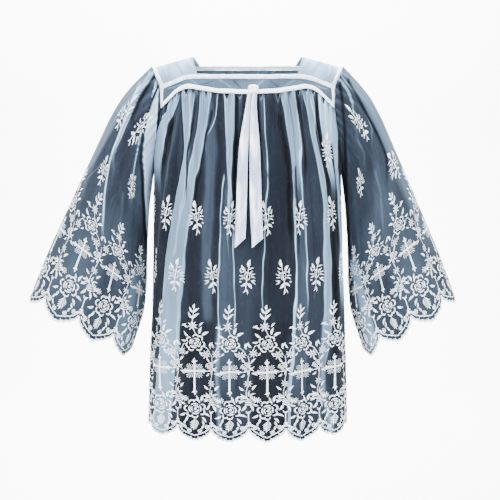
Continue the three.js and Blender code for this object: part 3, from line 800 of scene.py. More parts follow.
# %% Bands of the sleeves, as distances from the centre plane
SLEEVE_BANDS = {
    "right": [
        band(0.29, (-110, 216, 240), (-151, 226, 270), (-200, 238, 284), (-260, 248, 296), (-330, 255, 300)),
        band(0.56, (-30, 196, 230), (-60, 214, 262), (-108, 254, 300), (-167, 291, 345), (-256, 346, 400)),
        band(
            0.8,
            (-39, 201, 212),
            (-67, 220, 232),
            (-99, 236, 248),
            (-135, 251, 261),
            (-168, 264, 273),
            (-200, 279, 285),
        ),
        band(DOUBLE, (-81, 190, 198), (-113, 203, 211), (-144, 214, 222), (-175, 223, 228)),
        band(
            0.97,
            (-62, 188, 198),
            (-99, 189, 205),
            (-137, 191, 212),
            (-197, 195, 221),
            (-250, 198, 220),
            (-308, 200, 220),
            (-365, 202, 219),
            (-423, 205, 216),
            (-480, 208, 214),
        ),
        band(
            0.54,
            (-393, 207, 225),
            (-426, 209, 232),
            (-455, 210, 245),
            (-497, 212, 258),
            (-539, 217, 271),
            (-594, 234, 288),
            (-640, 250, 292),
        ),
    ],
    "left": [
        band(0.31, (-90, 205, 224), (-150, 212, 250), (-230, 216, 262), (-330, 222, 268)),
        band(0.58, (-30, 196, 230), (-54, 218, 262), (-117, 253, 310), (-203, 293, 365), (-229, 300, 385)),
        band(0.5, (-215, 300, 350), (-264, 318, 352), (-310, 338, 374), (-358, 358, 396), (-400, 378, 412)),
        band(DOUBLE, (-44, 186, 193), (-58, 199, 206), (-75, 211, 217), (-92, 217, 223), (-111, 223, 227)),
        band(0.68, (-256, 203, 213), (-320, 206, 219), (-407, 212, 229), (-548, 244, 266), (-640, 262, 286)),
    ],
}
print("bands of a sleeve:", {name: len(rows) for name, rows in SLEEVE_BANDS.items()})

# %% Lines of the sleeves
SLEEVE_LINES = {
    "right": [
        line(
            EDGE_HIGHLIGHT,
            1.6,
            (-63, 232),
            (-99, 247),
            (-135, 260),
            (-168, 272),
            (-200, 284),
            (-269, 298),
            (-352, 306),
        ),
        line(EDGE_HIGHLIGHT, 0.9, (-81, 197), (-144, 221), (-191, 232), (-271, 246)),
        line(SHADOW, 2.8, (-35, 194), (-67, 214), (-94, 229), (-125, 243)),
        line(SHADOW, 1.9, (-67, 191), (-92, 201), (-123, 212), (-151, 219)),
        line(0.6, 0.9, (-200, 276), (-233, 315), (-261, 346)),
        line(LIGHT, 2.2, (-290, 262), (-360, 268), (-410, 281)),
        line(SHADOW, 1.5, (-150, 219), (-200, 226), (-260, 225), (-380, 223)),
    ],
    "left": [
        line(0.75, 1.0, (-40, 200), (-70, 222), (-110, 246), (-150, 262)),
        line(SHADOW, 2.0, (-54, 216), (-85, 233), (-117, 250), (-153, 268), (-203, 290), (-229, 294)),
        line(SHADOW, 2.4, (-62, 197), (-113, 202), (-195, 207), (-282, 212), (-346, 216), (-411, 223)),
        line(0.5, 1.8, (-151, 229), (-176, 234), (-201, 247)),
        line(0.5, 2.2, (-244, 269), (-282, 278), (-325, 283), (-363, 286)),
    ],
}
print("lines of a sleeve:", {name: len(rows) for name, rows in SLEEVE_LINES.items()})


# %% The sheets of the sleeves
SLEEVE_TONE = 0.38  # a sleeve lies a little looser than the body, so it looks paler


def sleeve_creases(side, points, out, place, along):
    below = along * SLEEVE_LENGTH
    small = sleeve_gathers(place)
    x, z = points[..., 0] * side.way, points[..., 2]
    x = x + 0.9 * np.sin(z / 29 + place * 0.1) + 0.4 * np.sin(z / 11)
    tone = SLEEVE_TONE + 0.05 * np.sin(place / 17 + below / 120)
    # Near the head the ridges of the gathers are painted paler and their troughs darker: painted light and
    # shade.
    tone = tone + 0.3 * (small - 0.45) * np.exp(-below / 30)
    relief = np.zeros_like(tone)
    for way, name in ((-1, side.name), (1, "left" if side is RIGHT else "right")):
        facing = smooth(-0.2, 0.1, out[..., 1] * way)
        tone, relief = press(tone, relief, x, z, SLEEVE_BANDS[name], SLEEVE_LINES[name], where=facing)
    # Right under the head the troughs between the gathers are painted dark as shadow.
    return lerp(tone, SHADOW, 0.8 * np.exp(-below / 9) * (1 - small) ** 1.5), relief


def sleeve_sheet(side, cells=420, rows=112):
    downs = np.concatenate([np.linspace(0, 0.1, 16), np.linspace(0.1, 1, rows)[1:]])[:, None]
    halves = [armhole_half(face, side) for face in (FRONT, BACK)]
    walk = np.linspace(math.pi, 3 * math.pi, 901)
    walked, _ = on_sleeve(side, halves, walk, np.broadcast_to(downs, (len(downs), len(walk))))
    angle = np.array([even_steps(row, walk, cells) for row in walked])
    edge = 1 - scallop(np.linspace(0, FLAT, cells + 1)) / SLEEVE_LENGTH
    along = downs * edge
    points, out = on_sleeve(side, halves, angle, along)
    place = np.mod(np.degrees(angle) + 180, 360) - 180
    tone, relief = sleeve_creases(side, points, out, place, along)
    points = points + relief[..., None] * out
    points[:, -1], tone[:, -1] = points[:, 0], tone[:, 0]
    drop = np.full(cells + 1, float(SLEEVE_LENGTH))
    return Sheet(f"{side.name}_sleeve_net", points, out, tone, downs[:, 0], drop, edge, True)


sleeves = [sleeve_sheet(side) for side in (LEFT, RIGHT)]
for sheet in sleeves:
    low, high = sheet.points.min((0, 1)), sheet.points.max((0, 1))
    print(sheet.name, sheet.points.shape, "from", low.round(), "to", high.round())


# %% [markdown]
# ## The net's finish
#
# Net is a web of hexagonal cells about a millimetre wide. From a step away it reads as a veil whose density
# varies. The colour follows the `tone` attribute, with cloudy streaks that run down the cloth and faint wisps
# where the net is creased. The cells are a fine pattern on the UV map, which is the flat cloth. The net is
# drawn opaque: the tones already hold what would show through it, as well as the painted shadows of slits and
# hollows and the painted highlights on the rims of folds, so it looks the same from all sides and in front of
# anything.

# %% Helpers that build materials and trees from nodes
def new_material(name):
    material = bpy.data.materials.new(name)
    material.use_nodes = True
    tree = material.node_tree
    tree.nodes.clear()
    output = tree.nodes.new("ShaderNodeOutputMaterial")
    shader = tree.nodes.new("ShaderNodeBsdfPrincipled")
    tree.links.new(shader.outputs[0], output.inputs[0])
    return material, tree, shader


def node(tree, kind, settings=None, **inputs):
    """A node with its settings, and inputs that are values or other nodes' outputs."""
    made = tree.nodes.new(kind)
    for name, value in (settings or {}).items():
        setattr(made, name, value)
    for name, value in inputs.items():
        socket = made.inputs[int(name[1:])] if name[0] == "i" and name[1:].isdigit() else made.inputs[name]
        if isinstance(value, bpy.types.NodeSocket):
            tree.links.new(value, socket)
        else:
            socket.default_value = value
    return made


def maths(tree, operation, a, b=0.0, clamp=False):
    return node(tree, "ShaderNodeMath", {"operation": operation, "use_clamp": clamp}, i0=a, i1=b).outputs[0]


def ramp(tree, factor, stops):
    made = node(tree, "ShaderNodeValToRGB", None, Fac=factor)
    elements = made.color_ramp.elements
    while len(elements) < len(stops):
        elements.new(0.5)
    for element, (position, colour) in zip(elements, stops):
        element.position = position
        element.color = (*colour, 1)
    return made.outputs[0]


def stretched(tree, coordinates, scale, amount, **noise):
    """Noise whose spots are drawn out by a scale along each axis."""
    mapped = node(tree, "ShaderNodeMapping", None, Vector=coordinates, Scale=scale).outputs[0]
    spots = node(tree, "ShaderNodeTexNoise", None, Vector=mapped, **noise).outputs[0]
    return maths(tree, "MULTIPLY", maths(tree, "SUBTRACT", spots, 0.5), amount)


# %% The net's material
# Tone 0 gives the colour of painted shadow, and the top of the ramp the pale rims with their painted
# highlight.
TONES = [
    (0.0, (0.0010, 0.0012, 0.0022)),
    (0.15, (0.0055, 0.0078, 0.0125)),
    (0.3, (0.0110, 0.0155, 0.0245)),
    (0.47, (0.0260, 0.0385, 0.0560)),
    (0.62, (0.0620, 0.1000, 0.1450)),
    (0.78, (0.1420, 0.2200, 0.3200)),
    (1.0, (0.4600, 0.6400, 0.8200)),
]
CELL = 1.3  # millimetres from one cell of the net to the next


def net_material(name, wispy):
    material, tree, shader = new_material(name)
    uv = node(tree, "ShaderNodeUVMap", {"uv_map": "flat"}).outputs[0]
    tone = node(tree, "ShaderNodeAttribute", {"attribute_name": "tone"}).outputs["Fac"]
    clouds = stretched(tree, uv, (34, 5, 1), 0.17, Scale=1.0, Detail=3.0, Roughness=0.55)
    haze = stretched(tree, uv, (13, 8, 1), 0.16, Scale=1.0, Detail=1.0)
    streaks = stretched(tree, uv, (260, 9, 1), 0.06, Scale=1.0, Detail=2.0)
    wisp = stretched(tree, uv, (26, 11, 1), 1.0, Scale=1.0, Detail=1.5, Distortion=1.6)
    wisp = maths(tree, "SUBTRACT", 0.02, maths(tree, "ABSOLUTE", wisp))
    dark = maths(tree, "SUBTRACT", 0.6, tone, clamp=True)
    wisp = maths(tree, "MULTIPLY", maths(tree, "MAXIMUM", wisp, 0.0), maths(tree, "MULTIPLY", dark, wispy))
    total = tone
    for part in (clouds, haze, streaks, wisp):
        total = maths(tree, "ADD", total, part)
    colour = ramp(tree, total, TONES)
    tree.links.new(colour, shader.inputs["Base Color"])
    web = None
    for turn in (0, 60, 120):
        spin = {"Rotation": (0, 0, math.radians(turn)), "Scale": (1000 / CELL,) * 3}
        spun = node(tree, "ShaderNodeMapping", None, Vector=uv, **spin)
        along = node(tree, "ShaderNodeSeparateXYZ", None, Vector=spun.outputs[0]).outputs[0]
        wave = maths(tree, "COSINE", maths(tree, "MULTIPLY", along, 2 * math.pi))
        web = wave if web is None else maths(tree, "ADD", web, wave)
    bump = node(tree, "ShaderNodeBump", None, Strength=0.25, Distance=0.0002, Height=web)
    tree.links.new(bump.outputs[0], shader.inputs["Normal"])
    shader.inputs["Roughness"].default_value = 0.85
    shader.inputs["Specular IOR Level"].default_value = 0.06
    shader.inputs["Sheen Weight"].default_value = 0.02
    return material


NET = net_material("net", 10.0)
DOUBLED = net_material("doubled net", 4.0)
print("materials:", NET.name, "and", DOUBLED.name)

# %% Sheets of net on their solids
SOLIDS = ("front_panel", "back_panel", "left_sleeve", "right_sleeve")


def hand_over(piece, solid=None):
    """Lets a piece ride on the garment and stand for its solid."""
    if solid:
        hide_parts(solid)
    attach(piece, "root")
    print(piece.name, "faces", len(piece.data.polygons))


for sheet, solid in zip([*panels, *sleeves], SOLIDS):
    piece = grid_mesh(sheet.name, sheet)
    piece.data.materials.append(NET)
    hand_over(piece, solid)


# %% [markdown]
# ## The embroidery
#
# The machine fills narrow shapes with satin stitch: threads packed side by side across the shape, over a
# padding that makes them stand up. So a leaf, a petal, a stem and a cord are all one thing, a path with a
# width at each point. The design is drawn with such paths for one scallop, in flat millimetres, from the
# middle of the scallop and its lowest point. Its flowers, leaves, buds and crosses are ordinary ones. A
# printed pattern would be simpler, but thread stands up and catches the light, so it is made as a mesh.

# %% Paths of satin stitch
design = []


def divided(points, half, longest=4.0):
    """The path again, with its long steps divided so that it can bend with the cloth."""
    lengths = run_along(points)
    counts = np.ceil(np.diff(lengths) / longest).astype(int)
    steps = [np.linspace(a, b, n, endpoint=False) for a, b, n in zip(lengths, lengths[1:], counts)]
    t = np.concatenate([*steps, lengths[-1:]])
    return np.stack([np.interp(t, lengths, points[:, k]) for k in (0, 1)], -1), np.interp(t, lengths, half)


def stitch(x, y, points, half):
    """Adds a path around the middle of its motif, with half its width at each point."""
    points = np.asarray(points, float)
    half = np.broadcast_to(half, len(points))
    if np.ndim(x) == 0:
        points, half = divided(points, half)
    middle = np.stack(np.broadcast_arrays(x, y, np.zeros(len(points)))[:2], -1)
    design.append((x, points + middle, half))


def swung(points, degrees):
    c, s = math.cos(math.radians(degrees)), math.sin(math.radians(degrees))
    return np.asarray(points, float) @ np.array([[c, s], [-s, c]])


LEAF_SHAPE = np.array([0.2, 0.78, 1.0, 0.86, 0.5, 0.06])


def leaf(x, y, angle, length, width, start=0.0, bend=0.1):
    """A leaf or petal that points away at an angle, from a start distance off the middle."""
    t = np.linspace(0, 1, len(LEAF_SHAPE))
    points = np.stack([start + t * length, bend * length * np.sin(t * math.pi)], -1)
    stitch(x, y, swung(points, angle), LEAF_SHAPE * width * 0.43)


def arc(x, y, radius, start, end, half, middle=(0, 0), points=7):
    angles = np.radians(np.linspace(start, end, points))
    path = np.stack([np.cos(angles), np.sin(angles)], -1) * radius + middle
    stitch(x, y, path, half * (0.25 + 0.75 * np.sin(np.linspace(0.08, 1, points) * math.pi * 0.97) ** 0.7))


def curl(x, y, size, start, turns, half, points=13):
    """A line that winds out from its middle."""
    t = np.linspace(0, 1, points)
    angles = np.radians(start) + t * turns * 2 * math.pi
    path = np.stack([np.cos(angles), np.sin(angles)], -1) * (size / 2 * (0.15 + 0.85 * t))[:, None]
    stitch(x, y, path, half)


def stem(points, half=0.5):
    """A smooth line through three places."""
    (x0, y0), (x1, y1), (x2, y2) = points
    t = np.linspace(0, 1, 8)[:, None]
    path = (1 - t) ** 2 * (x0, y0) + 2 * t * (1 - t) * np.array((x1, y1)) + t**2 * (x2, y2)
    middle = path.mean(0)
    stitch(*middle, path - middle, half)


# %% Asters and roses
def aster(x, y, size, turn=0, petals=8):
    for i in range(petals):
        length = size * (0.42 if i % 2 else 0.36)
        leaf(x, y, turn + 360 * i / petals, length, size * 0.115, start=size * 0.1, bend=0.02)
    curl(x, y, size * 0.12, 0, 0.8, size * 0.04, points=6)


def rose(x, y, size, turn=0):
    r = size / 2
    curl(x, y, r * 0.3, turn, 1.2, r * 0.05, points=8)
    for i in range(3):
        arc(x, y, r * 0.33, turn + 120 * i, turn + 120 * i + 96, r * 0.06)
    for i in range(4):
        arc(x, y, r * 0.53, turn + 40 + 90 * i, turn + 40 + 90 * i + 74, r * 0.06)
    for i in range(7):
        angle = turn + 51.4 * i + 9 * math.sin(i * 2.2)
        middle = np.array([math.cos(math.radians(angle)), math.sin(math.radians(angle))]) * r * 0.68
        arc(x, y, r * 0.28, angle - 88, angle + 88, r * 0.072, middle)


def side_rose(x, y, size, angle):
    """A rose seen from its side, in its calyx."""
    r = size / 2
    for reach, spread, half in ((0.22, 90, 0.06), (0.42, 78, 0.06), (0.64, 64, 0.07), (0.9, 52, 0.075)):
        arc(x, y, r * reach, angle - spread, angle + spread * 0.2, r * half)
        arc(x, y, r * (reach + 0.06), angle + spread * 0.3, angle + spread * 1.1, r * half)
    for way in (-1, 1):
        leaf(x, y, angle + way * 96, r * 0.8, r * 0.22, start=r * 0.15, bend=0.2 * way)
        leaf(x, y, angle + 180 + way * 34, r * 0.8, r * 0.2, start=r * 0.2)


# %% Buds, ferns and crosses
def bud(x, y, angle, size):
    leaf(x, y, angle, size, size * 0.42)
    for way in (-1, 1):
        leaf(x, y, angle + way * 42, size * 0.55, size * 0.2)


def fern(x, y, angle, length, pairs=4, width=2.1):
    way = swung([(1, 0)], angle)[0]
    stem([(x, y), (x, y) + way * length * 0.5, (x, y) + way * length * 0.94], 0.5)
    for i in range(pairs):
        px, py = (x, y) + way * length * (0.12 + 0.74 * i / pairs)
        for side in (-1, 1):
            leaf(px, py, angle + side * 40, length * (0.46 - 0.06 * i), width, start=1)
    leaf(*((x, y) + way * length * 0.76), angle, length * 0.3, width)


def tip(x, y, angle, size):
    """The budded end of a cross's arm."""
    for turn, length in ((0, 1.0), (-62, 0.66), (62, 0.66)):
        leaf(x, y, angle + turn, size * length, size * 0.42, start=-size * 0.12)
    leaf(x, y, angle + 180, size * 0.5, size * 0.5, start=-size * 0.3)


def cross(x, y, side, head, foot):
    """A budded cross with four fans of rays, and how far it reaches to its sides, up and down."""
    stitch(x, y, [(0, -foot + 6), (0, -foot / 2), (0, -7)], [1.9, 1.8, 1.4])
    stitch(x, y, [(0, -7), (0, 0), (0, head - 7)], [1.4, 1.8, 1.4])
    stitch(x, y, [(-side + 7, 0), (0, 0), (side - 7, 0)], [1.7, 2.1, 1.7])
    for angle, reach in ((0, side), (90, head), (180, side)):
        way = swung([(reach - 9, 0)], angle)[0]
        tip(x + way[0], y + way[1], angle, 10.5)
    tip(x, y - foot + 8, -90, 10)
    for quarter in range(4):
        for turn, reach in ((19, 14.5), (33, 18), (45, 19.5), (57, 18), (71, 14.5)):
            way = swung([(1, 0)], 90 * quarter + turn)[0]
            stitch(x, y, [way * 6, way * reach * 0.6, way * reach], [0.15, 0.3, 0.5])


# %% The sprays of the field
def spray(way):
    """A small spray of leaves and a half-open flower, strewn over the field of the net."""
    def put(px, py):
        return (way * px, py)

    def turn(angle):
        return angle if way > 0 else 180 - angle

    stem([put(3, -24), put(1, -2), put(-3, 21)], 0.6)
    stem([put(1, 10), put(6, 14), put(11, 9)], 0.6)
    for px, py, angle, length, width in (
        (-3, 21, 100, 16, 7.4),
        (4, 14, 62, 13, 6.0),
        (11, 10, 82, 9, 2.6),
        (-4, 16, 160, 9, 2.6),
        (0, -13, -124, 14, 6.4),
        (2, -12, -34, 12, 5.4),
        (2, -24, -56, 11, 2.6),
        (2, -25, -100, 12, 2.6),
        (-7, -8, 184, 9, 2.4),
        (-7, -9, 222, 11, 2.6),
    ):
        leaf(*put(px, py), turn(angle), length, width)
    for angle in (8, 136, 166, 196, 338):
        leaf(*put(0, 2), turn(angle), 9, 2.6, start=6.6)
    leaf(*put(0, -2), 90, 8, 2.8)
    arc(*put(0, 5), 4.8, -30, 210, 0.8, points=7)
    arc(*put(0, -1), 4.8, 150, 390, 0.8, points=7)
    curl(*put(13, -9), 4, 60, 0.9, 0.55, points=8)


# %% The middle of one scallop, from its low rose to the sprig above the cross
rose(1, 68, 41, 20)
for leaf_at in (
    (-17, 58, 208, 13, 5.0),
    (-13, 51, 246, 13, 4.8),
    (18, 58, -14, 14, 5.0),
    (14, 50, -52, 13, 5.0),
    (-17, 78, 158, 11, 4.4),
    (13, 85, 74, 15, 5.4),
    (18, 84, 28, 13, 4.8),
    (8, 88, 116, 10, 3.6),
):
    leaf(*leaf_at)
fern(1, 48, -98, 26, width=2.4)
aster(-17, 90, 14, 30)
cross(0, 150, 24, 28, 52)
rose(1, 210, 37, -10)
aster(-26, 190, 19, 5)
aster(21, 186, 20, 22)
stem([(16, 203), (25, 202), (31, 186)])
stem([(-15, 205), (-23, 212), (-26, 196)])
for leaf_at in (
    (14, 226, 34, 15, 6.2),
    (9, 230, 74, 15, 6.0),
    (-12, 224, 140, 14, 5.2),
    (-17, 214, 182, 11, 4.2),
    (29, 203, 58, 13, 4.4),
    (31, 200, 98, 12, 3.8),
    (-30, 203, 120, 12, 4.2),
    (-12, 192, 224, 9, 3.4),
    (9, 191, -66, 9, 3.4),
):
    leaf(*leaf_at)
stem([(3, 228), (-5, 242), (-4, 268)])
aster(-4, 247, 21, 12)
fern(-4, 258, 84, 34, pairs=2, width=5.0)
for leaf_at in ((-13, 243, 156, 14, 4.0), (-18, 250, 206, 11, 3.4), (9, 246, 50, 11, 3.8)):
    leaf(*leaf_at)
print("paths in the middle:", len(design))

# %% Between two crosses
stem([(34, 186), (40, 160), (33, 132)])
side_rose(34, 158, 27, 118)
for leaf_at in (
    (40, 170, 48, 13, 4.6),
    (29, 171, 122, 12, 4.0),
    (41, 148, -26, 12, 4.2),
    (28, 146, 220, 9, 3.8),
):
    leaf(*leaf_at)
aster(34, 126, 17, 0)
stem([(34, 120), (27, 106), (34, 92)])
side_rose(35, 96, 33, -64)
for leaf_at in (
    (42, 112, 52, 13, 5.2),
    (27, 112, 140, 12, 4.6),
    (26, 100, 196, 11, 4.6),
    (30, 80, 236, 15, 5.6),
    (38, 80, -68, 15, 5.6),
    (43, 90, -14, 11, 4.4),
    (25, 88, 168, 9, 3.8),
):
    leaf(*leaf_at)
stem([(35, 66), (34, 56), (35, 44)], 0.9)
bud(35, 44, -90, 12)
for way in (-1, 1):
    leaf(35, 38, -90 + way * 58, 14, 5.0)
    leaf(35, 62, 90 + way * 40, 8, 3.2)
print("paths with those between the crosses:", len(design))

# %% Cords along the scallops, with curls above them, and the two sprays
PATTERN = 70  # the width in which one scallop is drawn


def edge_height(x):
    return scallop((x / PATTERN + 0.5) * REPEAT)


walk = np.linspace(-PATTERN / 2, PATTERN / 2, 53)
waves = np.abs(np.sin((walk / PATTERN + 0.5) * 8 * math.pi))
stitch(walk, edge_height(walk), np.stack([0 * walk, 1.1 - 2.3 * waves], -1), 2.0)
inner = np.linspace(-31, 31, 25)
stitch(inner, edge_height(inner), np.stack([0 * inner, 9.5 + 0.7 * np.sin(inner * 0.9)], -1), 0.9)
for x, start, way in ((-24, 20, 1), (-9, 200, -1), (9, -20, 1), (24, 160, -1)):
    level = float(edge_height(x))
    curl(x, level + 16.5, 9, start, 1.25 * way, 1.0)
    leaf(x + 5 * way, level + 21, 90 - 24 * way, 10, 4.0)
    arc(x, level + 5.2, 3.4, 200, 340, 0.7)
hem_design = list(design)
sprays = []
for way in (1, -1):
    design.clear()
    spray(way)
    sprays.append(list(design))
print("paths in one scallop:", len(hem_design), "and their points:", sum(len(p) for _, p, _ in hem_design))

# %% [markdown]
# ## Stitching the design and carrying it onto the folds
#
# Geometry Nodes turn each path into a raised band: a short line of three points is swept along it and
# scaled by its width, its middle is lifted by the padding, and the result is repeated for every scallop.
# The stitched strip is still flat. Its points are then read as places of the flat cloth and carried onto
# each sheet of net with `Sheet.at`, so that the motifs follow all its folds.

# %% A tree of nodes that sews the paths
def socket(tree, name, kind, default=None):
    made = tree.interface.new_socket(name, in_out="INPUT", socket_type=kind)
    if default is not None:
        made.default_value = default
    return made.identifier


def satin_tree():
    tree = bpy.data.node_groups.new("satin stitch", "GeometryNodeTree")
    tree.interface.new_socket("Geometry", in_out="INPUT", socket_type="NodeSocketGeometry")
    names = {
        "Repeats": socket(tree, "Repeats", "NodeSocketInt", REPEATS),
        "Repeat width": socket(tree, "Repeat width", "NodeSocketFloat", 100.0),
        "Padding": socket(tree, "Padding", "NodeSocketFloat", 0.6),
        "Most padding": socket(tree, "Most padding", "NodeSocketFloat", 0.9),
        "Thread": socket(tree, "Thread", "NodeSocketMaterial"),
    }
    tree.interface.new_socket("Geometry", in_out="OUTPUT", socket_type="NodeSocketGeometry")
    given = node(tree, "NodeGroupInput").outputs

    def named(name):
        return node(tree, "GeometryNodeInputNamedAttribute", {"data_type": "FLOAT"}, Name=name).outputs[0]

    def stored(geometry, name, value):
        kind = {"data_type": "FLOAT", "domain": "POINT"}
        given = {"Geometry": geometry, "Name": name, "Value": value}
        return node(tree, "GeometryNodeStoreNamedAttribute", kind, **given).outputs[0]

    path = node(tree, "GeometryNodeMeshToCurve", None, Mesh=given["Geometry"]).outputs[0]
    path = stored(path, "along", node(tree, "GeometryNodeSplineParameter").outputs["Length"])
    path = node(tree, "GeometryNodeSetCurveNormal", {"mode": "Z_UP"}, Curve=path).outputs[0]
    bar = node(tree, "GeometryNodeCurvePrimitiveLine", None, Start=(-1, 0, 0), End=(1, 0, 0)).outputs[0]
    bar = node(tree, "GeometryNodeResampleCurve", None, Curve=bar, Count=3).outputs[0]
    place = node(tree, "GeometryNodeInputPosition").outputs[0]
    bar = stored(bar, "across", node(tree, "ShaderNodeSeparateXYZ", None, Vector=place).outputs[0])
    swept = {"Curve": path, "Profile Curve": bar, "Scale": named("half")}
    strip = node(tree, "GeometryNodeCurveToMesh", None, **swept).outputs[0]
    pad = maths(tree, "MULTIPLY", named("half"), given["Padding"])
    pad = maths(tree, "MINIMUM", pad, given["Most padding"])
    crown = maths(tree, "SUBTRACT", 1.0, maths(tree, "ABSOLUTE", named("across")))
    lift = node(tree, "ShaderNodeCombineXYZ", None, Z=maths(tree, "MULTIPLY", pad, crown)).outputs[0]
    strip = node(tree, "GeometryNodeSetPosition", None, Geometry=strip, Offset=lift).outputs[0]
    step = node(tree, "ShaderNodeCombineXYZ", None, X=given["Repeat width"]).outputs[0]
    row = node(tree, "GeometryNodeMeshLine", None, Count=given["Repeats"], Offset=step).outputs[0]
    copies = node(tree, "GeometryNodeInstanceOnPoints", None, Points=row, Instance=strip).outputs[0]
    real = node(tree, "GeometryNodeRealizeInstances", None, Geometry=copies).outputs[0]
    done = node(tree, "GeometryNodeSetMaterial", None, Geometry=real, Material=given["Thread"]).outputs[0]
    tree.links.new(done, node(tree, "NodeGroupOutput").inputs[0])
    return tree, names


# %% The thread's finish
STITCH = 0.00055  # metres from one thread of the satin stitch to the next


def thread_material():
    """White embroidery thread. Its UV map runs along and across each path, in metres."""
    material, tree, shader = new_material("thread")
    uv = node(tree, "ShaderNodeUVMap", {"uv_map": "stitches"}).outputs[0]
    along = node(tree, "ShaderNodeSeparateXYZ", None, Vector=uv).outputs[0]
    ridge = maths(tree, "SINE", maths(tree, "MULTIPLY", along, 2 * math.pi / STITCH))
    cloud = node(tree, "ShaderNodeTexNoise", None, Vector=uv, Scale=420.0, Detail=2.0).outputs[0]
    whites = [(0.3, (0.48, 0.56, 0.65)), (0.5, (0.66, 0.73, 0.8)), (0.75, (0.84, 0.88, 0.93))]
    tree.links.new(ramp(tree, cloud, whites), shader.inputs["Base Color"])
    bump = node(tree, "ShaderNodeBump", None, Strength=0.35, Distance=0.0002, Height=ridge)
    tree.links.new(bump.outputs[0], shader.inputs["Normal"])
    shader.inputs["Roughness"].default_value = 0.55
    shader.inputs["Specular IOR Level"].default_value = 0.3
    shader.inputs["Sheen Weight"].default_value = 0.2
    return material


THREAD = thread_material()
sewing, sewing_inputs = satin_tree()
print("inputs of the tree:", sewing_inputs)

# %% Sew one flat strip of the design
SPACING = 100.0  # millimetres between the repeats while they are flat


def attribute(mesh, name, wide=1):
    found = np.empty(len(mesh.vertices) * wide, np.float32)
    mesh.attributes[name].data.foreach_get("vector" if wide == 3 else "value", found)
    return found.astype(float).reshape(-1, wide) if wide == 3 else found.astype(float)


def flat_strip(paths, repeats):
    """All repeats of a design as one flat mesh, in millimetres."""
    points, links, halves, middles = [], [], [], []
    for x, path, half in paths:
        first = len(points)
        points += [(px, py, 0) for px, py in path]
        links += [(first + i, first + i + 1) for i in range(len(path) - 1)]
        halves += list(half)
        middles += list(np.broadcast_to(x, len(path)))
    mesh = bpy.data.meshes.new("paths")
    mesh.from_pydata(points, links, [])
    for name, values in (("half", halves), ("middle", middles)):
        mesh.attributes.new(name, "FLOAT", "POINT").data.foreach_set("value", np.array(values, np.float32))
    strip = linked("paths", mesh)
    nodes = strip.modifiers.new("satin stitch", "NODES")
    nodes.node_group = sewing
    nodes[sewing_inputs["Repeats"]] = repeats
    nodes[sewing_inputs["Repeat width"]] = SPACING
    nodes[sewing_inputs["Thread"]] = THREAD
    ready = strip.evaluated_get(bpy.context.evaluated_depsgraph_get())
    sewn = bpy.data.meshes.new_from_object(ready)
    strip.modifiers.remove(nodes)
    bpy.data.objects.remove(strip)
    corners = np.empty(len(sewn.loops), np.int32)
    sewn.loops.foreach_get("vertex_index", corners)
    read = {name: attribute(sewn, name) for name in ("middle", "half", "along", "across")}
    print("flat strip:", len(sewn.vertices), "points,", len(corners) // 4, "faces")
    return SimpleNamespace(place=attribute(sewn, "position", 3), corners=corners.reshape(-1, 4), **read)


hem_strip = flat_strip(hem_design, REPEATS)
spray_strips = [flat_strip(paths, 1) for paths in sprays]


# %% Where the sprays lie
SPRAY_ROWS = ((0.5, 474), (0.97, 352))  # the part of a scallop's width, and the height over the hem
SPRAY_SPREAD = 1.3  # how much a spray is widened on a gathered panel
NEAR = 8  # columns of the sheet on each side over which its folding is measured
SLEEVE_SPRAYS = {
    "right": [(265, -125), (229, -151), (305, -241), (244, -273)],
    "left": [(236, -142), (311, -227), (239, -265)],
}


def spot(sheet, x, z, way):
    """The flat place of what shows at a place of the front (-1) or back (1) of a sheet, and its squeeze."""
    facing = sheet.normal[..., 1] * way > 0.15
    away = np.hypot(sheet.points[..., 0] - x, sheet.points[..., 2] - z) + np.where(facing, 0, 1e3)
    away = away[:, NEAR:-NEAR]
    r, c = np.unravel_index(np.argmin(away), away.shape)
    step = FLAT / (sheet.points.shape[1] - 1)
    seen = np.linalg.norm((sheet.points[r, c + 2 * NEAR] - sheet.points[r, c])[[0, 2]])
    return (c + NEAR) * step, sheet.height[r, c + NEAR], min(2 * NEAR * step / seen, 2.3)


def spray_spots(sheet):
    if not sheet.ring:
        rows = [(REPEAT * (k + part), w, SPRAY_SPREAD) for part, w in SPRAY_ROWS for k in range(REPEATS)]
        way = -1 if "front" in sheet.name else 1
        return [*rows[:-1], spot(sheet, -way * 166, -196, way)]
    side = LEFT if "left" in sheet.name else RIGHT
    other = RIGHT if side is LEFT else LEFT
    front = [spot(sheet, x * side.way, z, -1) for x, z in SLEEVE_SPRAYS[side.name]]
    return front + [spot(sheet, x * side.way, z, 1) for x, z in SLEEVE_SPRAYS[other.name]]


print("sprays on each sheet:", [len(spray_spots(sheet)) for sheet in (*panels, *sleeves)])


# %% Carry the design onto each sheet
THREAD_GAP = 0.35  # millimetres from the net to the flat edge of a stitched band
MOTIF_SPREAD = (1.3, 1.3, 1.12, 1.12)  # motifs are stitched that much wider, because folds narrow them


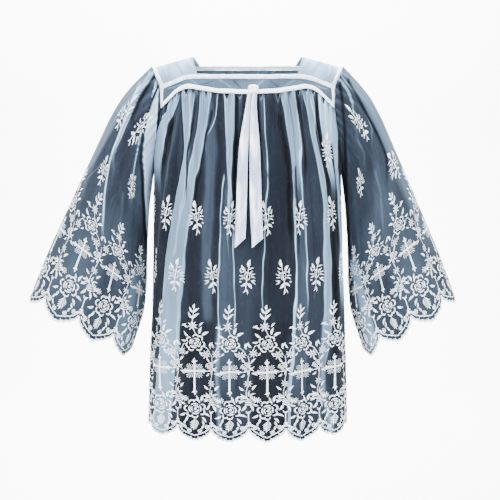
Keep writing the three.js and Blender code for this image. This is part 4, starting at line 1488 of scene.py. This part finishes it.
def drape(sheet, wide):
    """The embroidery of a sheet. Wide is how much its motifs spread to keep their looks on folded cloth."""
    strip = hem_strip
    repeat = np.round((strip.place[:, 0] - strip.middle) / SPACING)
    beside = strip.place[:, 0] - strip.middle - repeat * SPACING
    across = REPEAT * (repeat + 0.5) + strip.middle * (REPEAT / PATTERN) + beside * wide
    parts = [(strip, across, strip.place[:, 1])]
    for i, (u, w, squeeze) in enumerate(spray_spots(sheet)):
        strip = spray_strips[i % 2]
        parts.append((strip, u + strip.place[:, 0] * squeeze, w + strip.place[:, 1]))
    u, w = (np.concatenate([part[k] for part in parts]) for k in (1, 2))
    lift = np.concatenate([part[0].place[:, 2] for part in parts])
    stitches = [np.stack([part[0].along, part[0].across * part[0].half], -1) for part in parts]
    firsts = np.cumsum([0] + [len(part[1]) for part in parts])
    faces = np.concatenate([part[0].corners + first for part, first in zip(parts, firsts)])
    places = sheet.at(u, w, THREAD_GAP + lift)
    if not sheet.ring:
        inside = (u > 1) & (u < FLAT - 1)
        faces = faces[inside[faces].all(1)]
    kept, faces = np.unique(faces, return_inverse=True)
    faces = faces.reshape(-1, 4)
    mesh = bpy.data.meshes.new(sheet.name.replace("net", "embroidery"))
    mesh.from_pydata(places[kept] * MM, [], faces.tolist())
    stitches = np.concatenate(stitches)[kept][faces.ravel()]
    mesh.uv_layers.new(name="stitches").data.foreach_set("uv", (stitches * MM).ravel())
    mesh.materials.append(THREAD)
    mesh.shade_smooth()
    return linked(mesh.name, mesh)


embroidery = {}
for sheet, wide in zip([*panels, *sleeves], MOTIF_SPREAD):
    embroidery[sheet.name] = drape(sheet, wide)
    hand_over(embroidery[sheet.name])


# %% [markdown]
# ## The yoke's bands and shoulders
#
# Here the net lies double, so it is paler. It is stretched smooth, with a few slanting wrinkles where the
# tapes pull. The wrinkles are soft ridges along lines that cross the piece.

# %% Wrinkles of the bands and shoulders
BAND, SHOULDER = 0.57, 0.805  # the tones of their net


def wrinkles(across, down, rows):
    """Soft ridges along straight lines between two places of a piece."""
    relief, tone = np.zeros_like(across), np.zeros_like(across)
    for x0, y0, x1, y1, half, high, pale in rows:
        length = math.hypot(x1 - x0, y1 - y0)
        along = ((across - x0) * (x1 - x0) + (down - y0) * (y1 - y0)) / length
        off = ((across - x0) * (y1 - y0) - (down - y0) * (x1 - x0)) / length
        inside = smooth(-4, 4, along) * (1 - smooth(length - 4, length + 4, along))
        mask = np.exp(-((off / half) ** 2)) * inside
        relief, tone = relief + high * mask, tone + pale * mask
    return relief, tone


BAND_WRINKLES = [
    (-168, 4, -140, 20, 2.2, 0.8, 0.14),
    (-122, 2, -104, 26, 2.0, 0.7, 0.112),
    (-96, 22, -70, 6, 1.6, 0.6, -0.112),
    (-60, 2, -34, 24, 2.0, 0.8, 0.126),
    (-30, 4, -12, 26, 1.4, 0.6, -0.14),
    (14, 26, 34, 4, 1.8, 0.7, 0.126),
    (46, 4, 66, 25, 1.5, 0.6, -0.098),
    (78, 24, 100, 5, 2.0, 0.7, 0.112),
    (112, 6, 128, 24, 1.5, 0.6, -0.084),
    (140, 22, 168, 6, 2.2, 0.8, 0.14),
]
SHOULDER_WRINKLES = [
    (6, 30, 20, 150, 3.0, 0.8, 0.07),
    (30, 8, 40, 110, 2.2, 0.6, -0.084),
    (62, 20, 52, 160, 2.6, 0.8, 0.07),
    (22, 120, 34, 200, 2.2, 0.6, -0.07),
    (70, 100, 64, 190, 2.2, 0.6, -0.07),
]
print("wrinkles:", len(BAND_WRINKLES), "on a band and", len(SHOULDER_WRINKLES), "on a shoulder")


# %% The bands and shoulders themselves
YOKE_WIDTH, FRONT_BAND, BACK_BAND = 360, 20, 29
WRINKLED_DEPTH = 28  # the depth of a band as its wrinkles are drawn
SHOULDER_WIDTH, SHOULDER_LENGTH = 76, 205


def plain_sheet(name, points, relief, out, down, width, tone):
    points = points + relief[..., None] * out
    facing = np.cross(np.gradient(points, axis=1), np.gradient(points, axis=0))
    grid = {"points": points, "height": down, "tone": tone}
    return SimpleNamespace(name=name, width=width, ring=False, turned=np.sum(facing * out) < 0, **grid)


def band_sheet(face, cells=240, rows=18):
    x = np.linspace(-YOKE_END, YOKE_END, cells + 1)[None, :]
    t = np.linspace(0, 1, rows + 1)[:, None]
    high = face.neck(np.abs(x)) - TAPE / 2 - SEAM
    low = face.gather(np.abs(x)) + TAPE / 2 + SEAM
    points, out = on_body(face, x, lerp(high, low, t))
    across, down = np.broadcast_arrays(-face.way * x, t * WRINKLED_DEPTH)
    relief, shade = wrinkles(across, down, BAND_WRINKLES)
    relief = relief * np.sin(math.pi * t) ** 0.5
    tone = BAND + shade + 0.04 * np.sin(x / 19 + 2 * t)
    return plain_sheet(f"{face.name}_yoke_band_net", points, relief, out, down, YOKE_WIDTH, tone)


def shoulder_sheet(side, cells=40, rows=110):
    t = np.linspace(0, 1, cells + 1)[None, :]
    way = np.linspace(-1, 1, rows + 1)[:, None]
    crest_end = SHOULDER_END - SHOULDER_TAPE - SEAM
    points, out = on_shoulder(side, lerp(NECK_FRONT, YOKE_END, t), lerp(NECK_SIDE, crest_end, t), way)
    across, down = np.broadcast_arrays(t * SHOULDER_WIDTH, (way + 1) / 2 * SHOULDER_LENGTH)
    relief, shade = wrinkles(across, down, SHOULDER_WRINKLES)
    relief = relief * (np.sin(math.pi * t) * np.cos(way * math.pi / 2)) ** 0.5
    tone = SHOULDER + shade + 0.03 * np.sin(t * 9 + way * 3)
    return plain_sheet(f"{side.name}_shoulder_net", points, relief, out, down, SHOULDER_WIDTH, tone)


for sheet, solid, slot, length in (
    (band_sheet(FRONT), "front_yoke_band", "net", FRONT_BAND),
    (band_sheet(BACK), "back_yoke_band", "net", BACK_BAND),
    (shoulder_sheet(LEFT), "left_shoulder", "yoke", SHOULDER_LENGTH),
    (shoulder_sheet(RIGHT), "right_shoulder", "yoke", SHOULDER_LENGTH),
):
    piece = grid_mesh(sheet.name, sheet)
    piece.data.materials.append(DOUBLED)
    hand_over(piece, solid)


# %% [markdown]
# ## Tapes and ribbon
#
# The tapes are woven, close and white, with a row of stitches near each edge. Those over the gathers are
# thick and bright. Those of the neck and the armholes are thinner, so that the net tints them. Each is a
# tube with a flat rounded section, swept between two lines on the body. Hand sewing never runs quite
# straight, so the edges waver a little. The satin ribbon has the same build, but is thin, smooth and
# slightly curled, and its knot is a small bright pillow.

# %% Woven and satin finishes
RIB, DASH, EDGE_ROW, ROW_HALF = 0.0008, 0.0026, 0.003, 0.00028  # metres
STITCH_SHADE = (0.42, 0.5, 0.6, 1)


def tape_material(name, shade, mid, light):
    material, tree, shader = new_material(name)
    uv = node(tree, "ShaderNodeUVMap", {"uv_map": "flat"}).outputs[0]
    part = node(tree, "ShaderNodeSeparateXYZ", None, Vector=uv).outputs
    cloud = node(tree, "ShaderNodeTexNoise", None, Vector=uv, Scale=90.0, Detail=3.0).outputs[0]
    colour = ramp(tree, cloud, [(0.3, shade), (0.5, mid), (0.72, light)])
    dash = maths(tree, "SINE", maths(tree, "MULTIPLY", part[0], 2 * math.pi / DASH))
    dash = maths(tree, "GREATER_THAN", dash, -0.3)
    row = maths(tree, "ABSOLUTE", maths(tree, "SUBTRACT", maths(tree, "ABSOLUTE", part[1]), EDGE_ROW))
    seam = maths(tree, "MULTIPLY", dash, maths(tree, "LESS_THAN", row, ROW_HALF))
    mixed = {"i0": maths(tree, "MULTIPLY", seam, 0.5), "i6": colour, "i7": STITCH_SHADE}
    dark = node(tree, "ShaderNodeMix", {"data_type": "RGBA"}, **mixed)
    tree.links.new(dark.outputs[2], shader.inputs["Base Color"])
    rib = maths(tree, "SINE", maths(tree, "MULTIPLY", part[0], 2 * math.pi / RIB))
    height = maths(tree, "SUBTRACT", rib, maths(tree, "MULTIPLY", seam, 3.0))
    bump = node(tree, "ShaderNodeBump", None, Strength=0.3, Distance=0.0002, Height=height)
    tree.links.new(bump.outputs[0], shader.inputs["Normal"])
    shader.inputs["Roughness"].default_value = 0.8
    shader.inputs["Sheen Weight"].default_value = 0.2
    return material


def ribbon_material(name, shade, light):
    material, tree, shader = new_material(name)
    uv = node(tree, "ShaderNodeUVMap", {"uv_map": "flat"}).outputs[0]
    warp = stretched(tree, uv, (12, 900, 1), 0.35, Scale=1.0, Detail=2.0)
    # The cloud paints broad gloss bands along the satin: painted highlights up to near white, and painted
    # shade down to the shade colour.
    cloud = stretched(tree, uv, (14, 60, 1), 2.0, Scale=1.0, Detail=2.0)
    tone = maths(tree, "ADD", 0.5, maths(tree, "ADD", warp, cloud))
    colour = ramp(tree, tone, [(0.15, shade), (0.5, light), (0.95, (0.97, 0.97, 1.0))])
    tree.links.new(colour, shader.inputs["Base Color"])
    bump = node(tree, "ShaderNodeBump", None, Strength=0.12, Distance=0.0002, Height=warp)
    tree.links.new(bump.outputs[0], shader.inputs["Normal"])
    shader.inputs["Roughness"].default_value = 0.32
    shader.inputs["Sheen Weight"].default_value = 0.1
    return material


TAPE_FINISH = tape_material("woven tape", (0.76, 0.84, 0.93), (0.9, 0.95, 1.0), (0.98, 0.99, 1.0))
SOFT_TAPE = tape_material("soft tape", (0.46, 0.56, 0.72), (0.64, 0.73, 0.86), (0.88, 0.92, 0.98))
SATIN = ribbon_material("satin ribbon", (0.25, 0.3, 0.45), (0.36, 0.42, 0.61))
BRIGHT_SATIN = ribbon_material("satin knot", (0.6, 0.66, 0.8), (0.9, 0.93, 1.0))
print("finishes:", [finish.name for finish in (TAPE_FINISH, SOFT_TAPE, SATIN, BRIGHT_SATIN)])

# %% A flat band with rounded edges, between two lines
UPPER = [(-1, 0), (-0.96, 0.62), (-0.8, 0.93), (-0.3, 1), (0.3, 1), (0.8, 0.93), (0.96, 0.62), (1, 0)]
SECTION = [*UPPER, (0.8, -1), (-0.8, -1)]
print("points round a tape's section:", len(SECTION))


def closed_piece(name, points, faces, uv, material):
    """A closed mesh with one UV place for each point, its doubles merged and its faces turned outwards."""
    mesh = bpy.data.meshes.new(name)
    mesh.from_pydata((points * MM).tolist(), [], faces)
    order = np.empty(len(mesh.loops), np.int32)
    mesh.loops.foreach_get("vertex_index", order)
    mesh.uv_layers.new(name="flat").data.foreach_set("uv", (uv[order] * MM).ravel())
    work = bmesh.new()
    work.from_mesh(mesh)
    bmesh.ops.remove_doubles(work, verts=work.verts, dist=1e-6)
    bmesh.ops.recalc_face_normals(work, faces=work.faces)
    work.to_mesh(mesh)
    work.free()
    mesh.materials.append(material)
    mesh.shade_smooth()
    return linked(name, mesh)


def tube_faces(rows, sides):
    """The corners of each face of a tube that has rings of points."""
    number = np.arange(rows * sides).reshape(rows, sides)
    after = np.roll(number, -1, 1)
    return np.stack([number[:-1], number[1:], after[1:], after[:-1]], -1).reshape(-1, 4).tolist()


def flat_band(name, low, high, out, top, bottom, material, length):
    """Sweeps the section between two lines. Top and bottom are its heights off the middle surface."""
    low, high, out = (np.asarray(v, float) for v in (low, high, out))
    middle, reach = (low + high) / 2, (high - low) / 2
    ring = [middle + reach * a + out * (top * b if b > 0 else -bottom * b) for a, b in SECTION]
    points = np.stack(ring, 1)
    rows, sides = points.shape[:2]
    first, last = list(range(sides)), list(range(rows * sides - 1, (rows - 1) * sides - 1, -1))
    faces = tube_faces(rows, sides) + [first, last]
    along = np.linspace(0, length, rows)[:, None] + np.zeros(sides)
    half = np.linalg.norm(reach, axis=1)[:, None]
    uv = np.stack([along, half * [a for a, _ in SECTION]], -1).reshape(-1, 2)
    return closed_piece(name, points.reshape(-1, 3), faces, uv, material)


# %% The tapes
ARMHOLE_EDGE_LENGTH = 340


def waver(v, seed):
    """How far a hand-sewn edge strays, in millimetres."""
    return 0.28 * np.sin(v / 17 + seed) + 0.2 * np.sin(v / 6.3 + 2 * seed) + 0.1 * np.sin(v / 2.9 + 3 * seed)


def tape_across(face, line, name, top, seed, finish):
    x = np.linspace(-YOKE_END, YOKE_END, 181)
    sides = []
    for way in (-1, 1):
        place, out = on_body(face, x, line(np.abs(x)) + way * (TAPE / 2 + 0.2 + waver(x, seed + way)))
        sides.append(place)
    lift = (top + 0.25 * waver(x, seed + 5))[:, None]
    return flat_band(name, *sides, out * lift, 1.0, 1.2, finish, 2 * YOKE_END)


def tape_round(side, seed):
    way = np.linspace(-1, 1, 201)
    inner, _ = on_yoke_edge(side, way, False)
    outer, out = on_yoke_edge(side, way, True)
    stray = unit(outer - inner) * waver(way * ARMHOLE_EDGE_LENGTH / 2, seed)[:, None]
    lines = inner - stray, outer + stray, out
    return flat_band(f"{side.name}_armhole_tape_cloth", *lines, 0.9, 1.4, SOFT_TAPE, ARMHOLE_EDGE_LENGTH)


tapes = {
    "front_neck_tape": tape_across(FRONT, FRONT.neck, "front_neck_tape_cloth", 0.9, 1.0, SOFT_TAPE),
    "back_neck_tape": tape_across(BACK, BACK.neck, "back_neck_tape_cloth", 0.9, 2.0, SOFT_TAPE),
    "front_gather_tape": tape_across(FRONT, FRONT.gather, "front_gather_tape_cloth", 1.4, 3.0, TAPE_FINISH),
    "back_gather_tape": tape_across(BACK, BACK.gather, "back_gather_tape_cloth", 1.4, 4.0, TAPE_FINISH),
    "left_armhole_tape": tape_round(LEFT, 5.0),
    "right_armhole_tape": tape_round(RIGHT, 6.0),
}
for solid, piece in tapes.items():
    hand_over(piece, solid)

# %% The ribbon's ends and its knot
TAILS = {
    "right": [(-76.3, 5, 4), (-110, 0.5, 5.4), (-190, -8, 9.5), (-320, -13, 11), (-384, -15.7, 11)],
    "left": [(-76.3, 15, 4.6), (-110, 13, 6.4), (-190, 15, 10.6), (-320, 17.6, 12.3), (-384, 20.8, 12)],
}
RIBBON_WIDTHS, RIBBON_LENGTH = {"left": 25, "right": 22}, 310
SLANT = 20  # how much longer one edge of a ribbon's end is than the other
KNOT_X, KNOT_Z, KNOT_HALF = 12, -68, np.array([11, 6, 8])
KNOT_STAND = 7.4  # how far the knot's middle stands off the body


def ribbon_tail(name, rows):
    run = table("z x half", *rows)
    middle, half = through(run, "z", "x"), through(run, "z", "half")
    t = np.linspace(0, 1, 90)
    sides = []
    for way in (-1, 1):
        z = lerp(rows[0][0], rows[-1][0] + way * SLANT / 2, t)
        off = lerp(8, 16, smooth(rows[0][0], rows[0][0] - 110, z))
        bulge = 2.5 * np.exp(-(((z + 168) / 30) ** 2))
        y = on_body(FRONT, 0, z)[0][..., 1] - off - 0.5 * np.sin(z / 23 + way) - bulge
        sides.append(np.stack([middle(z) + way * half(z), y, z], -1))
    lines = *sides, np.array([[0, -1.0, 0]])
    return flat_band(f"ribbon_tail_{name}_satin", *lines, 1.0, 0.2, SATIN, RIBBON_LENGTH)


def ribbon_knot():
    """A pillow with soft corners. Grooves run in from its sides to a wrap round its middle."""
    up, turn = np.meshgrid(np.linspace(0, math.pi, 33), np.linspace(0, 2 * math.pi, 65)[:-1], indexing="ij")
    ball = np.stack([np.cos(up), np.sin(up) * np.cos(turn), np.sin(up) * np.sin(turn)], -1)
    soft = np.sign(ball) * np.abs(ball) ** 0.6
    beside = np.abs(ball[..., 0])
    ends = smooth(0.3, 0.75, beside)
    groove = -0.09 * ends * (0.5 + 0.5 * np.cos(turn * 7 + 1.5 * ball[..., 0])) ** 2
    wrap = 0.05 * (1 - smooth(0.22, 0.34, beside)) - 0.08 * np.exp(-(((beside - 0.36) / 0.07) ** 2))
    body, _ = on_body(FRONT, KNOT_X, KNOT_Z - 0.6 * KNOT_HALF[2])
    centre = np.array([KNOT_X, body[1] - KNOT_STAND, KNOT_Z])
    points = centre + soft * KNOT_HALF * (1 + groove + wrap)[..., None]
    uv = np.stack([turn.ravel(), up.ravel()], -1) * 9
    return closed_piece("ribbon_knot_satin", points.reshape(-1, 3), tube_faces(*turn.shape), uv, BRIGHT_SATIN)


ribbon = {f"ribbon_tail_{name}": ribbon_tail(name, rows) for name, rows in TAILS.items()}
ribbon["ribbon_knot"] = ribbon_knot()
for solid, piece in ribbon.items():
    hand_over(piece, solid)


# %% [markdown]
# ## The camera, the room and the light
#
# The camera stands level with the chest, 2.6 m away, so the hem is seen a little from above. The garment
# hangs in the air as it is worn, over a plain pale floor.

# %% The camera
def aim(thing, place, target):
    thing.location = place
    way = Vector(target) - Vector(place)
    thing.rotation_euler = way.to_track_quat("-Z", "Y").to_euler()


FRAME_WIDTH = 500  # pixels
FOCAL = 1193  # pixels
SHIFT = 2.5  # pixels from the frame's middle to the garment's
SENSOR = 36  # millimetres
camera = linked("camera", bpy.data.cameras.new("camera"))
camera.data.sensor_width = SENSOR
camera.data.lens = SENSOR * FOCAL / FRAME_WIDTH
camera.data.shift_x = SHIFT / FRAME_WIDTH
aim(camera, (0, -2.6, -0.06), (0, 0, -0.42))
bpy.context.scene.camera = camera
print("lens", round(camera.data.lens, 1), "mm")


# %% The room and the light
def room():
    """A floor that sweeps up into a backdrop."""
    floor, back, high, bend = -1.4, 3.4, 4.5, 1.2
    profile = [(-6.0, floor), (0.0, floor), (back - bend, floor)]
    for i in range(1, 17):
        turn = math.pi / 2 * i / 16
        profile.append((back - bend + bend * math.sin(turn), floor + bend - bend * math.cos(turn)))
    profile.append((back, high))
    wide = 7.0
    points = [(x, y, z) for y, z in profile for x in (-wide, wide)]
    faces = [(2 * i, 2 * i + 1, 2 * i + 3, 2 * i + 2) for i in range(len(profile) - 1)]
    mesh = bpy.data.meshes.new("room")
    mesh.from_pydata(points, [], faces)
    mesh.shade_smooth()
    made = linked("room", mesh)
    material, tree, shader = new_material("pale floor")
    grain = node(tree, "ShaderNodeTexNoise", None, Scale=3.0, Detail=2.0).outputs[0]
    colour = ramp(tree, grain, [(0.3, (0.93, 0.93, 0.93)), (0.7, (0.96, 0.96, 0.96))])
    tree.links.new(colour, shader.inputs["Base Color"])
    shader.inputs["Roughness"].default_value = 0.9
    made.data.materials.append(material)


def area_light(name, place, target, size, power):
    data = bpy.data.lights.new(name, "AREA")
    data.shape, data.size, data.energy = "DISK", size, power
    aim(linked(name, data), place, target)
    print(name, power, "W")


room()
area_light("key", (-1.6, -2.6, 1.2), (0, 0, -0.4), 1.8, 260)
area_light("fill", (2.0, -2.4, 0.4), (0, 0, -0.4), 2.2, 130)
area_light("back wall", (0, 1.0, 2.6), (0, 3.2, 0.2), 3.0, 1500)
world = bpy.data.worlds.new("studio")
world.use_nodes = True
world.node_tree.nodes["Background"].inputs[0].default_value = (1, 1, 1, 1)
world.node_tree.nodes["Background"].inputs[1].default_value = 1.4
bpy.context.scene.world = world

# %% [markdown]
# ## The cut of each sheet
#
# A cutter knows a sheet by its size before it is gathered. A panel is eight scallops wide and as long as its
# drop at the middle. A sleeve is cut as a trapezoid, narrower at its head. What is stitched to a sheet is
# named with it.

HEAD_SHARE = 0.64  # a sleeve is cut that much narrower at its head than at its cuff
for sheet in [*panels, *sleeves]:
    width = FLAT * MM
    length = float(sheet.drop.max()) * MM
    area = float(np.mean(sheet.drop * sheet.edge)) * MM * width
    area *= (1 + HEAD_SHARE) / 2 if sheet.ring else 1
    print(sheet.name, "cut", round(width, 3), "x", round(length, 3), "m, area", round(area, 3))
RIBBON_FILL = 0.8  # the share of its full width that an end has on the average, as it narrows to the knot
for name, wide in RIBBON_WIDTHS.items():
    width, length = wide * MM, RIBBON_LENGTH * MM
    area = RIBBON_FILL * width * length
